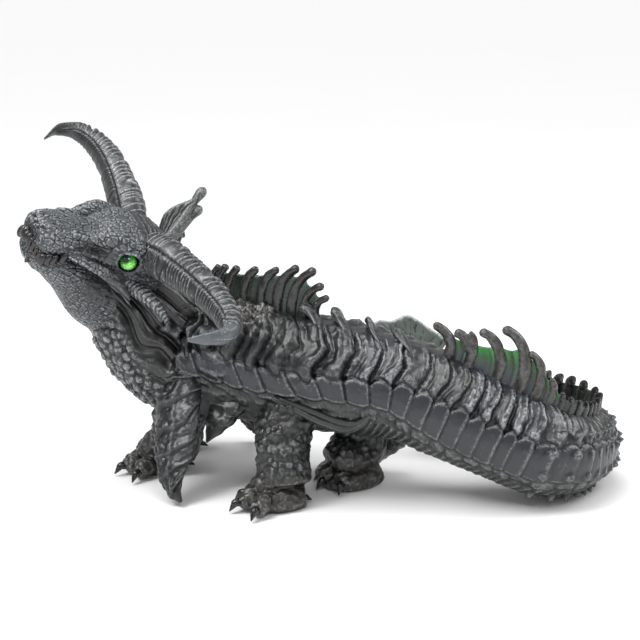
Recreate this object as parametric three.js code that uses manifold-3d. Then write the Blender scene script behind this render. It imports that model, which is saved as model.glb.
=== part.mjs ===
// A cast garden dragon that stands low on four clawed feet and rests on its long tail.
// Millimetres, +Z up. The head end points to -X, the dragon's left side faces -Y, and the ground is z = 0.
import * as THREE from "three";
import { mergeVertices } from "three/addons/utils/BufferGeometryUtils.js";
import Module from "manifold-3d";

const wasm = await Module();
wasm.setup();

// The spine from the back of the skull to the end of the tail:
// each row is a centre, the half width and half height there, and the way the back faces.
const upright = [0, 0, 1];
const spineRows = [
  { at: [-212, -66, 230], half: [38, 44], back: [0.5, 0.6, 0.62] },
  { at: [-198, -53, 200], half: [46, 59], back: [0.58, 0.58, 0.56] },
  { at: [-186, -38, 163], half: [55, 67], back: [0.52, 0.5, 0.68] },
  { at: [-161, -16, 130], half: [58, 70], back: [0.36, 0.35, 0.86] },
  { at: [-92, 4, 127], half: [58, 65], back: upright },
  { at: [-26, 16, 123], half: [57, 63], back: upright },
  { at: [26, 34, 119], half: [55, 58], back: upright },
  { at: [66, 50, 113], half: [53, 55], back: upright },
  { at: [112, 69, 95], half: [52, 54], back: upright },
  { at: [157, 90, 74], half: [50, 51], back: upright },
  { at: [194, 113, 56], half: [48, 50], back: upright },
  { at: [204, 152, 46], half: [45, 46], back: upright },
  { at: [192, 198, 43], half: [43, 44], back: upright },
  { at: [146, 224, 39], half: [38, 39], back: upright },
  { at: [92, 223, 35], half: [32, 35], back: upright },
  { at: [48, 203, 44], half: [26, 28], back: [0.3, 0.3, 0.9] },
  { at: [22, 181, 68], half: [19, 21], back: [0.6, 0.45, 0.65] },
  { at: [11, 166, 98], half: [12, 14], back: [0.75, 0.6, 0.2] },
  { at: [8, 160, 122], half: [7, 8], back: [0.75, 0.6, 0.1] },
];
const spineSides = 14;
const neckPlates = 6;
const trunkRow = 3; // the row where the trunk's plates begin
const plateLength = 26;
const plateStep = 0.055; // how far one plate's rear edge stands over the next, as a share of the radius
const plateRise = [0.12, 0.88]; // where on a plate its low front ring and its high rear ring lie
const shortestPlate = 0.35; // plates shorten down the tail to this share and a share of its width
const fullPlateWidth = 60;

// The head, in its own axes: forward along the snout, left, and up; its origin lies between the eyes.
const headAt = new THREE.Vector3(-199.5, -81, 253);
const headForward = new THREE.Vector3(-0.219, -0.878, 0.428);
const headLeft = new THREE.Vector3(0.841, -0.392, -0.373);
const skullRows = [
  { x: -58, half: 30, top: 12, mouth: -30 },
  { x: -46, half: 42, top: 30, mouth: -36 },
  { x: -20, half: 45, top: 36, mouth: -34 },
  { x: 4, half: 41, top: 31, mouth: -26 },
  { x: 20, half: 37, top: 24, mouth: -24 },
  { x: 34, half: 33, top: 12, mouth: -22 },
  { x: 55, half: 32, top: 6, mouth: -21 },
  { x: 72, half: 32, top: 2, mouth: -25 },
  { x: 84, half: 29, top: -4, mouth: -28 },
  { x: 91, half: 21, top: -11, mouth: -26 },
];
const jawRows = [
  { x: -50, half: 30, top: -20, bottom: -76 },
  { x: -30, half: 38, top: -24, bottom: -92 },
  { x: 0, half: 38, top: -22, bottom: -88 },
  { x: 36, half: 33, top: -19, bottom: -67 },
  { x: 64, half: 31, top: -20, bottom: -52 },
  { x: 80, half: 28, top: -24, bottom: -47 },
  { x: 87, half: 20, top: -27, bottom: -41 },
];
const headSides = 12;
const skullSquareness = 2.5; // 2 makes an oval section, more a squarer one
const jawSquareness = 2.2;
const eyeRadius = 9.5;
const eyePlace = [1, 37, 2];
const eyeGap = 0.3;
const eyeSides = 9;
const eyeBands = 6;
const browRows = [
  { at: [44, 24, 4], radius: 5 },
  { at: [24, 30, 14], radius: 10 },
  { at: [0, 36, 15], radius: 10 },
  { at: [-22, 38, 14], radius: 6 },
];

const hornRows = [
  { at: [-22, 22, 12], radius: 21 },
  { at: [-24, 50, 23], radius: 22 },
  { at: [-28, 90, 31], radius: 19 },
  { at: [-32, 134, 36], radius: 16.5 },
  { at: [-30, 176, 37], radius: 13.5 },
  { at: [-18, 201, 33], radius: 10.5 },
  { at: [0, 205, 24], radius: 7 },
  { at: [14, 196, 12], radius: 2 },
];
const hornRings = 8;
const hornSides = 8;
const hornRingDepth = 0.07;
const hornFlatness = 0.72;
const cheekHornRows = [
  { at: [-20, 34, -22], radius: 13 },
  { at: [-30, 56, -20], radius: 10 },
  { at: [-42, 78, -22], radius: 6 },
  { at: [-52, 92, -32], radius: 2 },
];
const cheekHornSides = 6;

// A limb's rows are centres and radii from the hip or shoulder down to the ankle.
// A foot's toes fan out from its centre: the turn of each from the heading, and its reach to the claw tip.
const toes = [
  { turn: 56, reach: 62 },
  { turn: 19, reach: 54 },
  { turn: -20, reach: 43 },
  { turn: -60, reach: 32 },
];
const legs = [
  {
    limb: [
      { at: [-24, -22, 100], radius: 36 },
      { at: [-24, -40, 70], radius: 33 },
      { at: [-16, -42, 46], radius: 28 },
      { at: [-9, -44, 22], radius: 25 },
    ],
    foot: [-18, -49],
    heading: 226,
    toes,
    toeScale: 1,
  },
  {
    limb: [
      { at: [-6, 60, 92], radius: 42 },
      { at: [-9, 62, 58], radius: 41 },
      { at: [-13, 58, 36], radius: 36 },
      { at: [-15, 50, 18], radius: 30 },
    ],
    foot: [-6, 47],
    heading: 244,
    toes,
    toeScale: 0.66,
    spur: { from: [8, 78, 34], to: [34, 106, 32], radius: 22 },
  },
  {
    limb: [
      { at: [-143, -30, 104], radius: 36 },
      { at: [-156, -34, 68], radius: 29 },
      { at: [-164, -30, 42], radius: 26 },
      { at: [-172, -30, 20], radius: 25 },
    ],
    foot: [-184, -34],
    heading: 224,
    toes,
    toeScale: 1,
  },
  {
    limb: [
      { at: [-158, 22, 104], radius: 36 },
      { at: [-190, 34, 68], radius: 28 },
      { at: [-205, 34, 42], radius: 24 },
      { at: [-212, 32, 20], radius: 22 },
    ],
    foot: [-216, 28],
    heading: 214,
    toes,
    toeScale: 0.62,
  },
];
const legSides = 10;
const toeRadius = 9.5;
const toeSides = 6;
const toeStart = 0.15; // shares of a toe's reach, and of the way to its knuckle
const toeBulge = 0.75;
const toeEndTaper = 0.7;
const toeHeights = [14, 12, 9];
const clawRadius = 5.2;
const clawSides = 4;
const clawLength = 17;
const clawRoot = 0.9;
const clawHeights = [13, 11, 3]; // the last is how far the claw tips stay off the ground
const clawTaper = 0.8;
const clawTipRadius = 0.8;
const padHeight = 9;
const smallestPad = 0.75;
const spurSides = 8;
const spurTipRadius = 2;
const padRows = [
  { along: -27, half: 17, tall: 13 },
  { along: -8, half: 26, tall: 19 },
  { along: 14, half: 24, tall: 14 },
  { along: 24, half: 14, tall: 8 },
];

// The armoured blade that hangs at each shoulder, in rows from the top, and the flap of skin behind it.
const bladeRows = [
  { at: [-127, -50, 128], half: 10, thick: 12 },
  { at: [-129, -58, 112], half: 21, thick: 14 },
  { at: [-127, -70, 94], half: 25, thick: 13 },
  { at: [-119, -83, 72], half: 25, thick: 11 },
  { at: [-114, -95, 51], half: 23, thick: 9 },
  { at: [-110, -104, 34], half: 17, thick: 7 },
  { at: [-103, -110, 18], half: 10, thick: 5 },
  { at: [-92, -112, 6], half: 3, thick: 2.5 },
];
const bladeBands = 6;
const bladeSides = 8;
const bladeBandStep = 0.9; // each band's narrow edge, as a share of its wide one
const bladeOutward = new THREE.Vector3(0.25, -0.95, 0.2);
const flapPoints = [
  [-116, -46, 88],
  [-76, -38, 86],
  [-84, -46, 66],
  [-98, -66, 50],
  [-106, -58, 64],
];
const flapThickness = 7;

// The crest's spines: how far along the spine (in rows), how tall, and how far the tip hooks to the head.
const crestSpines = [
  { row: 1.5, tall: 14, hook: -5 },
  { row: 2.1, tall: 18, hook: -6 },
  { row: 2.75, tall: 24, hook: -8 },
  { row: 3.45, tall: 29, hook: -10 },
  { row: 3.82, tall: 34, hook: -14 },
  { row: 4.15, tall: 40, hook: -18 },
  { row: 4.42, tall: 45, hook: -23 },
  { row: 4.68, tall: 45, hook: -24 },
  { row: 4.9, tall: 30, hook: -20 },
  { row: 5.1, tall: 19, hook: -15 },
  { row: 5.5, tall: 17, hook: -10 },
  { row: 5.95, tall: 14, hook: 4 },
  { row: 6.5, tall: 14, hook: 8 },
  { row: 7.05, tall: 18, hook: 12 },
  { row: 7.5, tall: 22, hook: 15 },
  { row: 7.85, tall: 26, hook: 16 },
  { row: 8.15, tall: 42, hook: 22 },
  { row: 8.65, tall: 56, hook: 19 },
  { row: 9.1, tall: 46, hook: 12 },
  { row: 9.65, tall: 21, hook: 8 },
  { row: 10.5, tall: 12, hook: 5 },
  { row: 11.3, tall: 13, hook: 4 },
  { row: 12.1, tall: 18, hook: 5 },
  { row: 12.8, tall: 20, hook: 7 },
  { row: 13.6, tall: 18, hook: 8 },
  { row: 14.6, tall: 14, hook: 7 },
];
const spineRadius = 4.8;
const crestSpineSides = 4;
const spineTaper = [1.4, 1, 0.65]; // at the root, the bend and the tip
const spineBend = 0.55; // how far up it bends, and how far the bend leans back, as shares
const spineBendLean = 0.2;
const sunkDepth = 10;
const webShare = 0.62; // the web's height beside a spine, as a share of the spine
const webSag = 0.45; // how much lower the web is half way between two spines
const webThickness = 9; // where it leaves the back; it tapers to a sharp top

// The fan at the nape: its root, its edge in order round to the last finger, and which tips are fingers.
const napeRoot = [-184, -38, 240];
const napeTips = [
  [-185, -26, 269],
  [-184, -19, 280],
  [-177, -10, 288],
  [-166, 2, 294],
  [-155, 15, 301],
  [-161, 6, 284],
  [-156, 9, 282],
  [-165, -2, 268],
  [-167, -7, 257],
  [-166, -16, 243],
];
const napeFingers = [4, 6, 8, 9];
const fingerRadius = 4.4;
const fingerTaper = [1.3, 1, 0.6];
const fingerMiddle = 0.6;
const napeReach = 0.94; // how far out the skin between the fingers goes
const napeThickness = 6;

// The fluke at the end of the tail, in order round its edge from the root.
const flukePoints = [
  [12, 159, 100],
  [-33, 135, 145],
  [-23, 144, 152],
  [-11, 152, 152],
  [1, 162, 158],
  [10, 168, 154],
  [24, 174, 144],
  [41, 182, 131],
  [37, 175, 118],
];
const flukeThickness = 7;

const limbStations = 4;
const mergeDistance = 1e-4;
const groundSize = 1200;
const groundDepth = 60;

const toVector = (point) => new THREE.Vector3(...point);

// A closed solid from a geometry whose faces may point either way.
function solidOf(geometry) {
  geometry.deleteAttribute("normal");
  geometry.deleteAttribute("uv");
  const merged = mergeVertices(geometry, mergeDistance);
  const vertProperties = new Float32Array(merged.attributes.position.array);
  const triVerts = new Uint32Array(merged.index.array);
  const made = new wasm.Manifold(new wasm.Mesh({ numProp: 3, vertProperties, triVerts }));
  if (made.volume() >= 0) return made;
  for (let i = 0; i < triVerts.length; i += 3) {
    [triVerts[i + 1], triVerts[i + 2]] = [triVerts[i + 2], triVerts[i + 1]];
  }
  return new wasm.Manifold(new wasm.Mesh({ numProp: 3, vertProperties, triVerts }));
}

// A skin over rings of equal count, closed by a fan at each end.
function loft(rings) {
  const count = rings[0].length;
  const points = rings.flat();
  const index = [];
  for (let ring = 0; ring < rings.length - 1; ring++) {
    for (let i = 0; i < count; i++) {
      const next = (i + 1) % count;
      const a = ring * count + i;
      const b = ring * count + next;
      index.push(a, b, b + count, a, b + count, a + count);
    }
  }
  for (const ring of [0, rings.length - 1]) {
    const middle = rings[ring].reduce((sum, point) => sum.add(point), new THREE.Vector3());
    const centre = points.push(middle.divideScalar(count)) - 1;
    for (let i = 0; i < count; i++) {
      const a = ring * count + i;
      const b = ring * count + ((i + 1) % count);
      index.push(...(ring === 0 ? [centre, b, a] : [centre, a, b]));
    }
  }
  const geometry = new THREE.BufferGeometry();
  geometry.setFromPoints(points);
  geometry.setIndex(index);
  return solidOf(geometry);
}

// One smooth curve through the rows' values of one name.
function curveOf(rows, value) {
  return new THREE.CatmullRomCurve3(rows.map(value), false, "catmullrom", 0.5);
}

// An oval ring about a centre.
function ovalRing(centre, side, up, halfWidth, halfHeight, sides, turn = 0) {
  return Array.from({ length: sides }, (_, i) => {
    const angle = turn + (i / sides) * Math.PI * 2;
    return centre
      .clone()
      .addScaledVector(side, Math.cos(angle) * halfWidth)
      .addScaledVector(up, Math.sin(angle) * halfHeight);
  });
}

// A round limb through rows of centres and radii.
function limb(rows, sides, stations) {
  const centres = curveOf(rows, (row) => toVector(row.at));
  const radii = curveOf(rows, (row) => new THREE.Vector3(row.radius, 0, 0));
  const rings = [];
  const side = new THREE.Vector3(0.82, 0.57, 0);
  for (let i = 0; i <= stations; i++) {
    const share = i / stations;
    const along = centres.getTangent(share);
    side.addScaledVector(along, -side.dot(along)).normalize();
    const up = new THREE.Vector3().crossVectors(side, along);
    const radius = radii.getPoint(share).x;
    rings.push(ovalRing(centres.getPoint(share), side, up, radius, radius, sides));
  }
  return loft(rings);
}

// Spine: centre, side and back vectors, and half sizes, at a place counted in rows.
const lastRow = spineRows.length - 1;
const spineCentres = curveOf(spineRows, (row) => toVector(row.at));
const spineHalves = curveOf(spineRows, (row) => new THREE.Vector3(...row.half, 0));
const spineBacks = curveOf(spineRows, (row) => toVector(row.back));
function spineAt(row) {
  const share = row / lastRow;
  const along = spineCentres.getTangent(share);
  const side = new THREE.Vector3().crossVectors(along, spineBacks.getPoint(share)).normalize();
  const back = new THREE.Vector3().crossVectors(side, along);
  const half = spineHalves.getPoint(share);
  return { centre: spineCentres.getPoint(share), along, side, back, width: half.x, height: half.y };
}

// The rows at which a plate begins, a plate's length apart along the spine.
function plateStarts() {
  const starts = [];
  for (let i = 0; i < neckPlates; i++) starts.push((i / neckPlates) * trunkRow);
  let walked = plateLength;
  let last = spineCentres.getPoint(trunkRow / lastRow);
  const fineStep = 0.02;
  for (let row = trunkRow; row < lastRow; row += fineStep) {
    const here = spineCentres.getPoint(row / lastRow);
    walked += here.distanceTo(last);
    last = here;
    const taper = Math.min(1, shortestPlate + spineHalves.getPoint(row / lastRow).x / fullPlateWidth);
    if (walked >= plateLength * taper) {
      starts.push(row);
      walked = 0;
    }
  }
  starts.push(lastRow);
  return starts;
}

// The web's height over the back at a row: full beside a spine, and lower between two.
function webHeight(row) {
  const next = crestSpines.findIndex((spine) => spine.row > row);
  if (next < 1) return 0;
  const [before, after] = [crestSpines[next - 1], crestSpines[next]];
  const share = (row - before.row) / (after.row - before.row);
  const level = THREE.MathUtils.lerp(before.tall, after.tall, share) * webShare;
  return level * (1 - webSag * Math.sin(Math.PI * share));
}

// One ring of the body, with the crest's web standing on the middle of the back.
function bodyRing(row, scale) {
  const at = spineAt(row);
  const top = at.height * scale;
  const quarter = Math.PI / 2;
  const ring = ovalRing(at.centre, at.side, at.back, at.width * scale, top, spineSides, quarter);
  const onBack = (across, height) =>
    at.centre.clone().addScaledVector(at.side, across).addScaledVector(at.back, height);
  const foot = top - 1; // a little under the skin
  ring.splice(
    0,
    1,
    onBack(webThickness / 2, foot),
    onBack(0, top + webHeight(row)),
    onBack(-webThickness / 2, foot),
  );
  return ring;
}

// The trunk, neck and tail as one tube of plates, each plate lapping over the next toward the tail.
function spineBody() {
  const starts = plateStarts();
  const rings = [];
  for (let i = 0; i < starts.length - 1; i++) {
    const length = starts[i + 1] - starts[i];
    rings.push(bodyRing(starts[i] + length * plateRise[0], 1 - plateStep));
    rings.push(bodyRing(starts[i] + length * plateRise[1], 1));
  }
  return loft(rings);
}

// A point given in the head's axes.
const headUp = new THREE.Vector3().crossVectors(headForward, headLeft).normalize();
const headFrame = new THREE.Matrix4().makeBasis(headForward, headLeft, headUp).setPosition(headAt);
const inHead = (x, y, z) => new THREE.Vector3(x, y, z).applyMatrix4(headFrame);

// A squared oval across the head.
function headSection(x, half, top, bottom, squareness) {
  const middle = (top + bottom) / 2;
  const height = (top - bottom) / 2;
  const bend = (value) => Math.sign(value) * Math.abs(value) ** (2 / squareness);
  return Array.from({ length: headSides }, (_, i) => {
    const angle = ((i + 0.5) / headSides) * Math.PI * 2;
    return inHead(x, bend(Math.cos(angle)) * half, middle + bend(Math.sin(angle)) * height);
  });
}

function skull() {
  return loft(skullRows.map((row) => headSection(row.x, row.half, row.top, row.mouth, skullSquareness)));
}

function jaw() {
  return loft(jawRows.map((row) => headSection(row.x, row.half, row.top, row.bottom, jawSquareness)));
}

// An eye, or the socket it sits in.
function ball(centre, radius) {
  const geometry = new THREE.SphereGeometry(radius, eyeSides, eyeBands);
  geometry.translate(centre.x, centre.y, centre.z);
  return solidOf(geometry);
}

// Rows given in the head's axes, moved to the statue's; mirrored is -1 for the right-hand side.
function headRows(rows, mirrored) {
  return rows.map((row) => ({
    at: inHead(row.at[0], row.at[1] * mirrored, row.at[2]).toArray(),
    radius: row.radius,
  }));
}

// A big horn: a flattened tube that steps in and out in rings.
function horn(mirrored) {
  const rows = headRows(hornRows, mirrored);
  const centres = curveOf(rows, (row) => toVector(row.at));
  const radii = curveOf(rows, (row) => new THREE.Vector3(row.radius, 0, 0));
  const sections = [];
  for (let i = 0; i < hornRings * 2; i++) {
    const share = i / (hornRings * 2 - 1);
    const along = centres.getTangent(share);
    const side = new THREE.Vector3().crossVectors(along, headUp).normalize();
    const up = new THREE.Vector3().crossVectors(side, along);
    const radius = radii.getPoint(share).x * (i % 2 ? 1 - hornRingDepth : 1);
    sections.push(ovalRing(centres.getPoint(share), side, up, radius * hornFlatness, radius, hornSides));
  }
  return loft(sections);
}

// A leg: the limb, a foot pad, four toes with claws, and a spur at the hock where there is one.
function leg(plan) {
  const foot = new THREE.Vector3(plan.foot[0], plan.foot[1], padHeight);
  const heading = THREE.MathUtils.degToRad(plan.heading);
  const pieces = [limb(plan.limb, legSides, limbStations)];
  const padForward = new THREE.Vector3(Math.cos(heading), Math.sin(heading), 0);
  const padSide = new THREE.Vector3(-padForward.y, padForward.x, 0);
  const scale = Math.max(plan.toeScale, smallestPad);
  pieces.push(
    loft(
      padRows.map((row) =>
        ovalRing(
          foot.clone().addScaledVector(padForward, row.along * scale),
          padSide,
          new THREE.Vector3(0, 0, 1),
          row.half * scale,
          row.tall,
          legSides,
        ),
      ),
    ),
  );
  for (const toe of plan.toes) {
    const angle = heading + THREE.MathUtils.degToRad(toe.turn);
    const way = new THREE.Vector3(Math.cos(angle), Math.sin(angle), 0);
    const reach = toe.reach * plan.toeScale;
    const at = (share, z) => {
      const point = foot.clone().addScaledVector(way, reach * share);
      return [point.x, point.y, z];
    };
    const knuckle = 1 - clawLength / reach;
    const toeRows = [
      { at: at(toeStart, toeHeights[0]), radius: toeRadius },
      { at: at(knuckle * toeBulge, toeHeights[1]), radius: toeRadius },
      { at: at(knuckle, toeHeights[2]), radius: toeRadius * toeEndTaper },
    ];
    const clawRows = [
      { at: at(knuckle * clawRoot, clawHeights[0]), radius: clawRadius },
      { at: at((knuckle + 1) / 2, clawHeights[1]), radius: clawRadius * clawTaper },
      { at: at(1, clawHeights[2]), radius: clawTipRadius },
    ];
    pieces.push(limb(toeRows, toeSides, 2), limb(clawRows, clawSides, 2));
  }
  if (plan.spur) {
    const { from, to, radius } = plan.spur;
    pieces.push(limb([{ at: from, radius }, { at: to, radius: spurTipRadius }], spurSides, 2));
  }
  return pieces;
}

// A point mirrored to the dragon's other side, across the upright plane along the trunk.
const shoulder = toVector(spineRows[trunkRow].at);
const trunkAcross = toVector(spineRows[trunkRow + 2].at).sub(shoulder).setZ(0).normalize();
trunkAcross.set(trunkAcross.y, -trunkAcross.x, 0);
function acrossTrunk(point) {
  const away = point.clone().sub(shoulder).dot(trunkAcross);
  return point.clone().addScaledVector(trunkAcross, -2 * away);
}

// The banded blade at a shoulder. Its broad face looks outward from the trunk.
function blade(place) {
  const centres = curveOf(bladeRows, (row) => toVector(row.at));
  const halves = curveOf(bladeRows, (row) => new THREE.Vector3(row.half, row.thick, 0));
  const sections = [];
  for (let i = 0; i < bladeBands * 2; i++) {
    const share = i / (bladeBands * 2 - 1);
    const along = centres.getTangent(share);
    const wide = new THREE.Vector3().crossVectors(along, bladeOutward).normalize();
    const thick = new THREE.Vector3().crossVectors(wide, along).normalize();
    const half = halves.getPoint(share);
    const band = i % 2 ? 1 : bladeBandStep;
    const ring = ovalRing(centres.getPoint(share), wide, thick, half.x * band, half.y * band, bladeSides);
    sections.push(ring.map(place));
  }
  return loft(sections);
}

// A flat web through points in order round its edge, with its thickness across the plane it lies in.
function web(points, thickness) {
  const middle = points.reduce((sum, point) => sum.add(point), new THREE.Vector3());
  middle.divideScalar(points.length);
  const normal = new THREE.Vector3();
  points.forEach((point, i) => {
    const next = points[(i + 1) % points.length];
    normal.add(new THREE.Vector3().crossVectors(point.clone().sub(middle), next.clone().sub(middle)));
  });
  normal.normalize();
  const shifted = (offset) => points.map((point) => point.clone().addScaledVector(normal, offset));
  return loft([shifted(-thickness / 2), shifted(thickness / 2)]);
}

// The nape's fan: a skin with fingers in it.
function fan() {
  const root = toVector(napeRoot);
  const toward = (tip, share) => root.clone().lerp(toVector(tip), share);
  const edge = napeTips.map((tip) => toward(tip, napeReach));
  const fingers = napeFingers.map((i) => {
    const shares = [0, fingerMiddle, 1];
    const rows = shares.map((share, k) => ({
      at: toward(napeTips[i], share).toArray(),
      radius: fingerRadius * fingerTaper[k],
    }));
    return limb(rows, crestSpineSides, 2);
  });
  return [web([root, ...edge], napeThickness), ...fingers];
}

// The crest's spines, each bent over toward the head, or leaning back where its hook is negative.
function crest() {
  return crestSpines.map((spine) => {
    const at = spineAt(spine.row);
    const toHead = at.along.clone().negate();
    const place = (height, forward) =>
      at.centre
        .clone()
        .addScaledVector(at.back, at.height + height)
        .addScaledVector(toHead, forward)
        .toArray();
    const bendLean = -Math.abs(spine.hook) * spineBendLean;
    const rows = [
      { at: place(-sunkDepth, 0), radius: spineRadius * spineTaper[0] },
      { at: place(spine.tall * spineBend, bendLean), radius: spineRadius * spineTaper[1] },
      { at: place(spine.tall, spine.hook), radius: spineRadius * spineTaper[2] },
    ];
    return limb(rows, crestSpineSides, 2);
  });
}

// Everything that was cast as one, joined, with the ground cut flat and a socket for each glass eye.
const leftEyeAt = inHead(...eyePlace);
const rightEyeAt = inHead(eyePlace[0], -eyePlace[1], eyePlace[2]);
const sides = [1, -1];
const flap = flapPoints.map(toVector);
const castPieces = [
  spineBody(),
  skull(),
  jaw(),
  ...sides.map((way) => horn(way)),
  ...sides.map((way) => limb(headRows(cheekHornRows, way), cheekHornSides, limbStations)),
  ...sides.map((way) => limb(headRows(browRows, way), cheekHornSides, limbStations)),
  ...legs.flatMap(leg),
  blade((point) => point),
  blade(acrossTrunk),
  web(flap, flapThickness),
  web(flap.map(acrossTrunk), flapThickness),
  ...fan(),
  web(flukePoints.map(toVector), flukeThickness),
  ...crest(),
];
let cast = castPieces.reduce((whole, piece) => whole.add(piece));
const ground = new THREE.BoxGeometry(groundSize, groundSize, groundDepth);
ground.translate(0, 0, -groundDepth / 2);
cast = cast.subtract(solidOf(ground));
for (const eye of [leftEyeAt, rightEyeAt]) cast = cast.subtract(ball(eye, eyeRadius + eyeGap));

function meshOf(solid, name, material) {
  const made = solid.getMesh();
  const geometry = new THREE.BufferGeometry();
  const positions = new Float32Array(made.numVert * 3);
  for (let i = 0; i < made.numVert; i++) {
    const start = i * made.numProp;
    positions.set(made.vertProperties.subarray(start, start + 3), i * 3);
  }
  geometry.setAttribute("position", new THREE.BufferAttribute(positions, 3));
  geometry.setIndex(new THREE.BufferAttribute(new Uint32Array(made.triVerts), 1));
  const mesh = new THREE.Mesh(geometry, material);
  mesh.name = name;
  return mesh;
}

const resin = new THREE.MeshStandardMaterial({ color: 0x3a3f42, roughness: 0.5, metalness: 0.1 });
const leftGlass = new THREE.MeshStandardMaterial({ color: 0x1fb04a, roughness: 0.08, metalness: 0 });
const rightGlass = leftGlass.clone();

const statue = new THREE.Group();
statue.add(meshOf(cast, "dragon", resin));
statue.add(meshOf(ball(leftEyeAt, eyeRadius), "left_eye", leftGlass));
statue.add(meshOf(ball(rightEyeAt, eyeRadius), "right_eye", rightGlass));

// The origin is on the ground, under the middle of the statue's box.
const box = new THREE.Box3().setFromObject(statue);
const middle = box.getCenter(new THREE.Vector3());
for (const mesh of statue.children) mesh.geometry.translate(-middle.x, -middle.y, -box.min.z);

export default statue;
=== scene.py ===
import math
from types import SimpleNamespace

import bpy
import numpy as np
from mathutils import Matrix, Vector


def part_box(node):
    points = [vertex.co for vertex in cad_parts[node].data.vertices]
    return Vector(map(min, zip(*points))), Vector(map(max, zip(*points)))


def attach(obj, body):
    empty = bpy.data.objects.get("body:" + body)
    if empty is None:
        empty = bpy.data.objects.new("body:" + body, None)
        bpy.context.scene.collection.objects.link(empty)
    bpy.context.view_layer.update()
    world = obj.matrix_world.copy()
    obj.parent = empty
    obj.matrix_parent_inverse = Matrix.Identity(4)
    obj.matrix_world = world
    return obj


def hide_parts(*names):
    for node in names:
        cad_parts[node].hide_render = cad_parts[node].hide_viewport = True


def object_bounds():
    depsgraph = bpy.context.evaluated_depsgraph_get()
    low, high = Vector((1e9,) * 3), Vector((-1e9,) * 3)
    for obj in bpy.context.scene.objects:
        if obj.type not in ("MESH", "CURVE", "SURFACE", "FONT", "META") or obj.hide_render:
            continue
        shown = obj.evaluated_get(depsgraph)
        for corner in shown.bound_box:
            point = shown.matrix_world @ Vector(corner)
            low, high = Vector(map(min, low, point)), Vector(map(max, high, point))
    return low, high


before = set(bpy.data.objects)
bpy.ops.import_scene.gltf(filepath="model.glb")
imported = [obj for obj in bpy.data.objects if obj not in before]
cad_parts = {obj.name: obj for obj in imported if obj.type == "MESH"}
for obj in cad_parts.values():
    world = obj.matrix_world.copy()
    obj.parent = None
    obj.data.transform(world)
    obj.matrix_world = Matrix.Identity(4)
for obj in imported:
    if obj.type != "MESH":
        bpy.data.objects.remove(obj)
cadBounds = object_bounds()
cadLow, cadHigh = np.array(cadBounds[0]), np.array(cadBounds[1])
print("frame loaded")

# The head's axes, in the statue's own millimetres: forward along the snout, left and up.
# Zero lies between the eyes.
head = {
    "at": (-199.5, -81, 253),
    "forward": (-0.219, -0.878, 0.428),
    "left": (0.841, -0.392, -0.373),
    "eye": (1, 37, 2),
    "eyeRadius": 9.5,
}
headAt = np.array(head["at"], float)
headAxes = np.array([head["forward"], head["left"], np.cross(head["forward"], head["left"])])
headAxes /= np.linalg.norm(headAxes, axis=1)[:, None]


def fromHead(points):
    return np.asarray(points, float) @ headAxes + headAt


# The sculptor's millimetres are moved to the frame by where the left eye is.
eyeLow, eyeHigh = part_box("left_eye")
frameShift = (np.array(eyeLow) + np.array(eyeHigh)) / 2 - fromHead(head["eye"]) / 1000


def toFrame(points):
    return np.asarray(points) / 1000 + frameShift


# The noise table's length is a power of two.
noiseTable = {"seed": 11, "length": 8192, "mixers": (73856093, 19349663, 83492791, 2654435761)}
chance = np.random.default_rng(noiseTable["seed"]).random(noiseTable["length"])


def latticeValue(*place):
    mixed = 0
    for value, mixer in zip(place, noiseTable["mixers"]):
        mixed = mixed ^ (value * mixer)
    return chance[mixed & (noiseTable["length"] - 1)]


def noise(points, size, seed=0):
    scaled = points / size
    low = np.floor(scaled).astype(np.int64)
    part = scaled - low
    part = part * part * (3 - 2 * part)
    total = np.zeros(len(points))
    for dx in (0, 1):
        wx = part[:, 0] if dx else 1 - part[:, 0]
        for dy in (0, 1):
            wy = part[:, 1] if dy else 1 - part[:, 1]
            for dz in (0, 1):
                wz = part[:, 2] if dz else 1 - part[:, 2]
                total += wx * wy * wz * latticeValue(low[:, 0] + dx, low[:, 1] + dy, low[:, 2] + dz, seed)
    return total * 2 - 1


def rough(points, size, seed=0, layers=3):
    return sum(noise(points, size / 2**i, seed + i) / 1.8**i for i in range(layers))


# How near the cell's edge and its middle are, and the cell's own number.
def cells(points, size, seed=0, spread=0.7):
    scaled = points / size
    low = np.floor(scaled).astype(np.int64)
    first = np.full(len(points), 9.0)
    second = np.full(len(points), 9.0)
    own = np.zeros(len(points))
    for dx in (-1, 0, 1):
        for dy in (-1, 0, 1):
            for dz in (-1, 0, 1):
                x, y, z = low[:, 0] + dx, low[:, 1] + dy, low[:, 2] + dz
                cx = x + 0.5 + spread * (latticeValue(x, y, z, seed) - 0.5)
                cy = y + 0.5 + spread * (latticeValue(x, y, z, seed + 1) - 0.5)
                cz = z + 0.5 + spread * (latticeValue(x, y, z, seed + 2) - 0.5)
                away = np.sqrt((scaled[:, 0] - cx) ** 2 + (scaled[:, 1] - cy) ** 2 + (scaled[:, 2] - cz) ** 2)
                nearer = away < first
                second = np.where(nearer, first, np.minimum(second, away))
                own = np.where(nearer, latticeValue(x, y, z, seed + 3), own)
                first = np.where(nearer, away, first)
    return second - first, first, own


def ramp(low, high, value):
    share = np.clip((value - low) / (high - low), 0, 1)
    return share * share * (3 - 2 * share)


def bump(value, centre, width):
    return np.exp(-(((value - centre) / width) ** 2))


def ridge(value, power=1.0):
    return 1 - np.abs(2 * (value - np.floor(value)) - 1) ** power


# Swells slowly to its crown, then tucks under.
def lap(across, crown, power=1.4):
    tucked = 1 - ramp(0, 1, (across - crown) / (1 - crown))
    return np.where(across < crown, (across / crown) ** power, tucked)


# Noise with a stretched grain: three ways, each counted in grains.
def grain(seed, *ways):
    return noise(np.stack(np.broadcast_arrays(*ways), -1).reshape(-1, 3), 1, seed)


def noiseAlong(values, seed):
    return grain(seed, values, 0.0, 0.0).reshape(values.shape)


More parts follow.
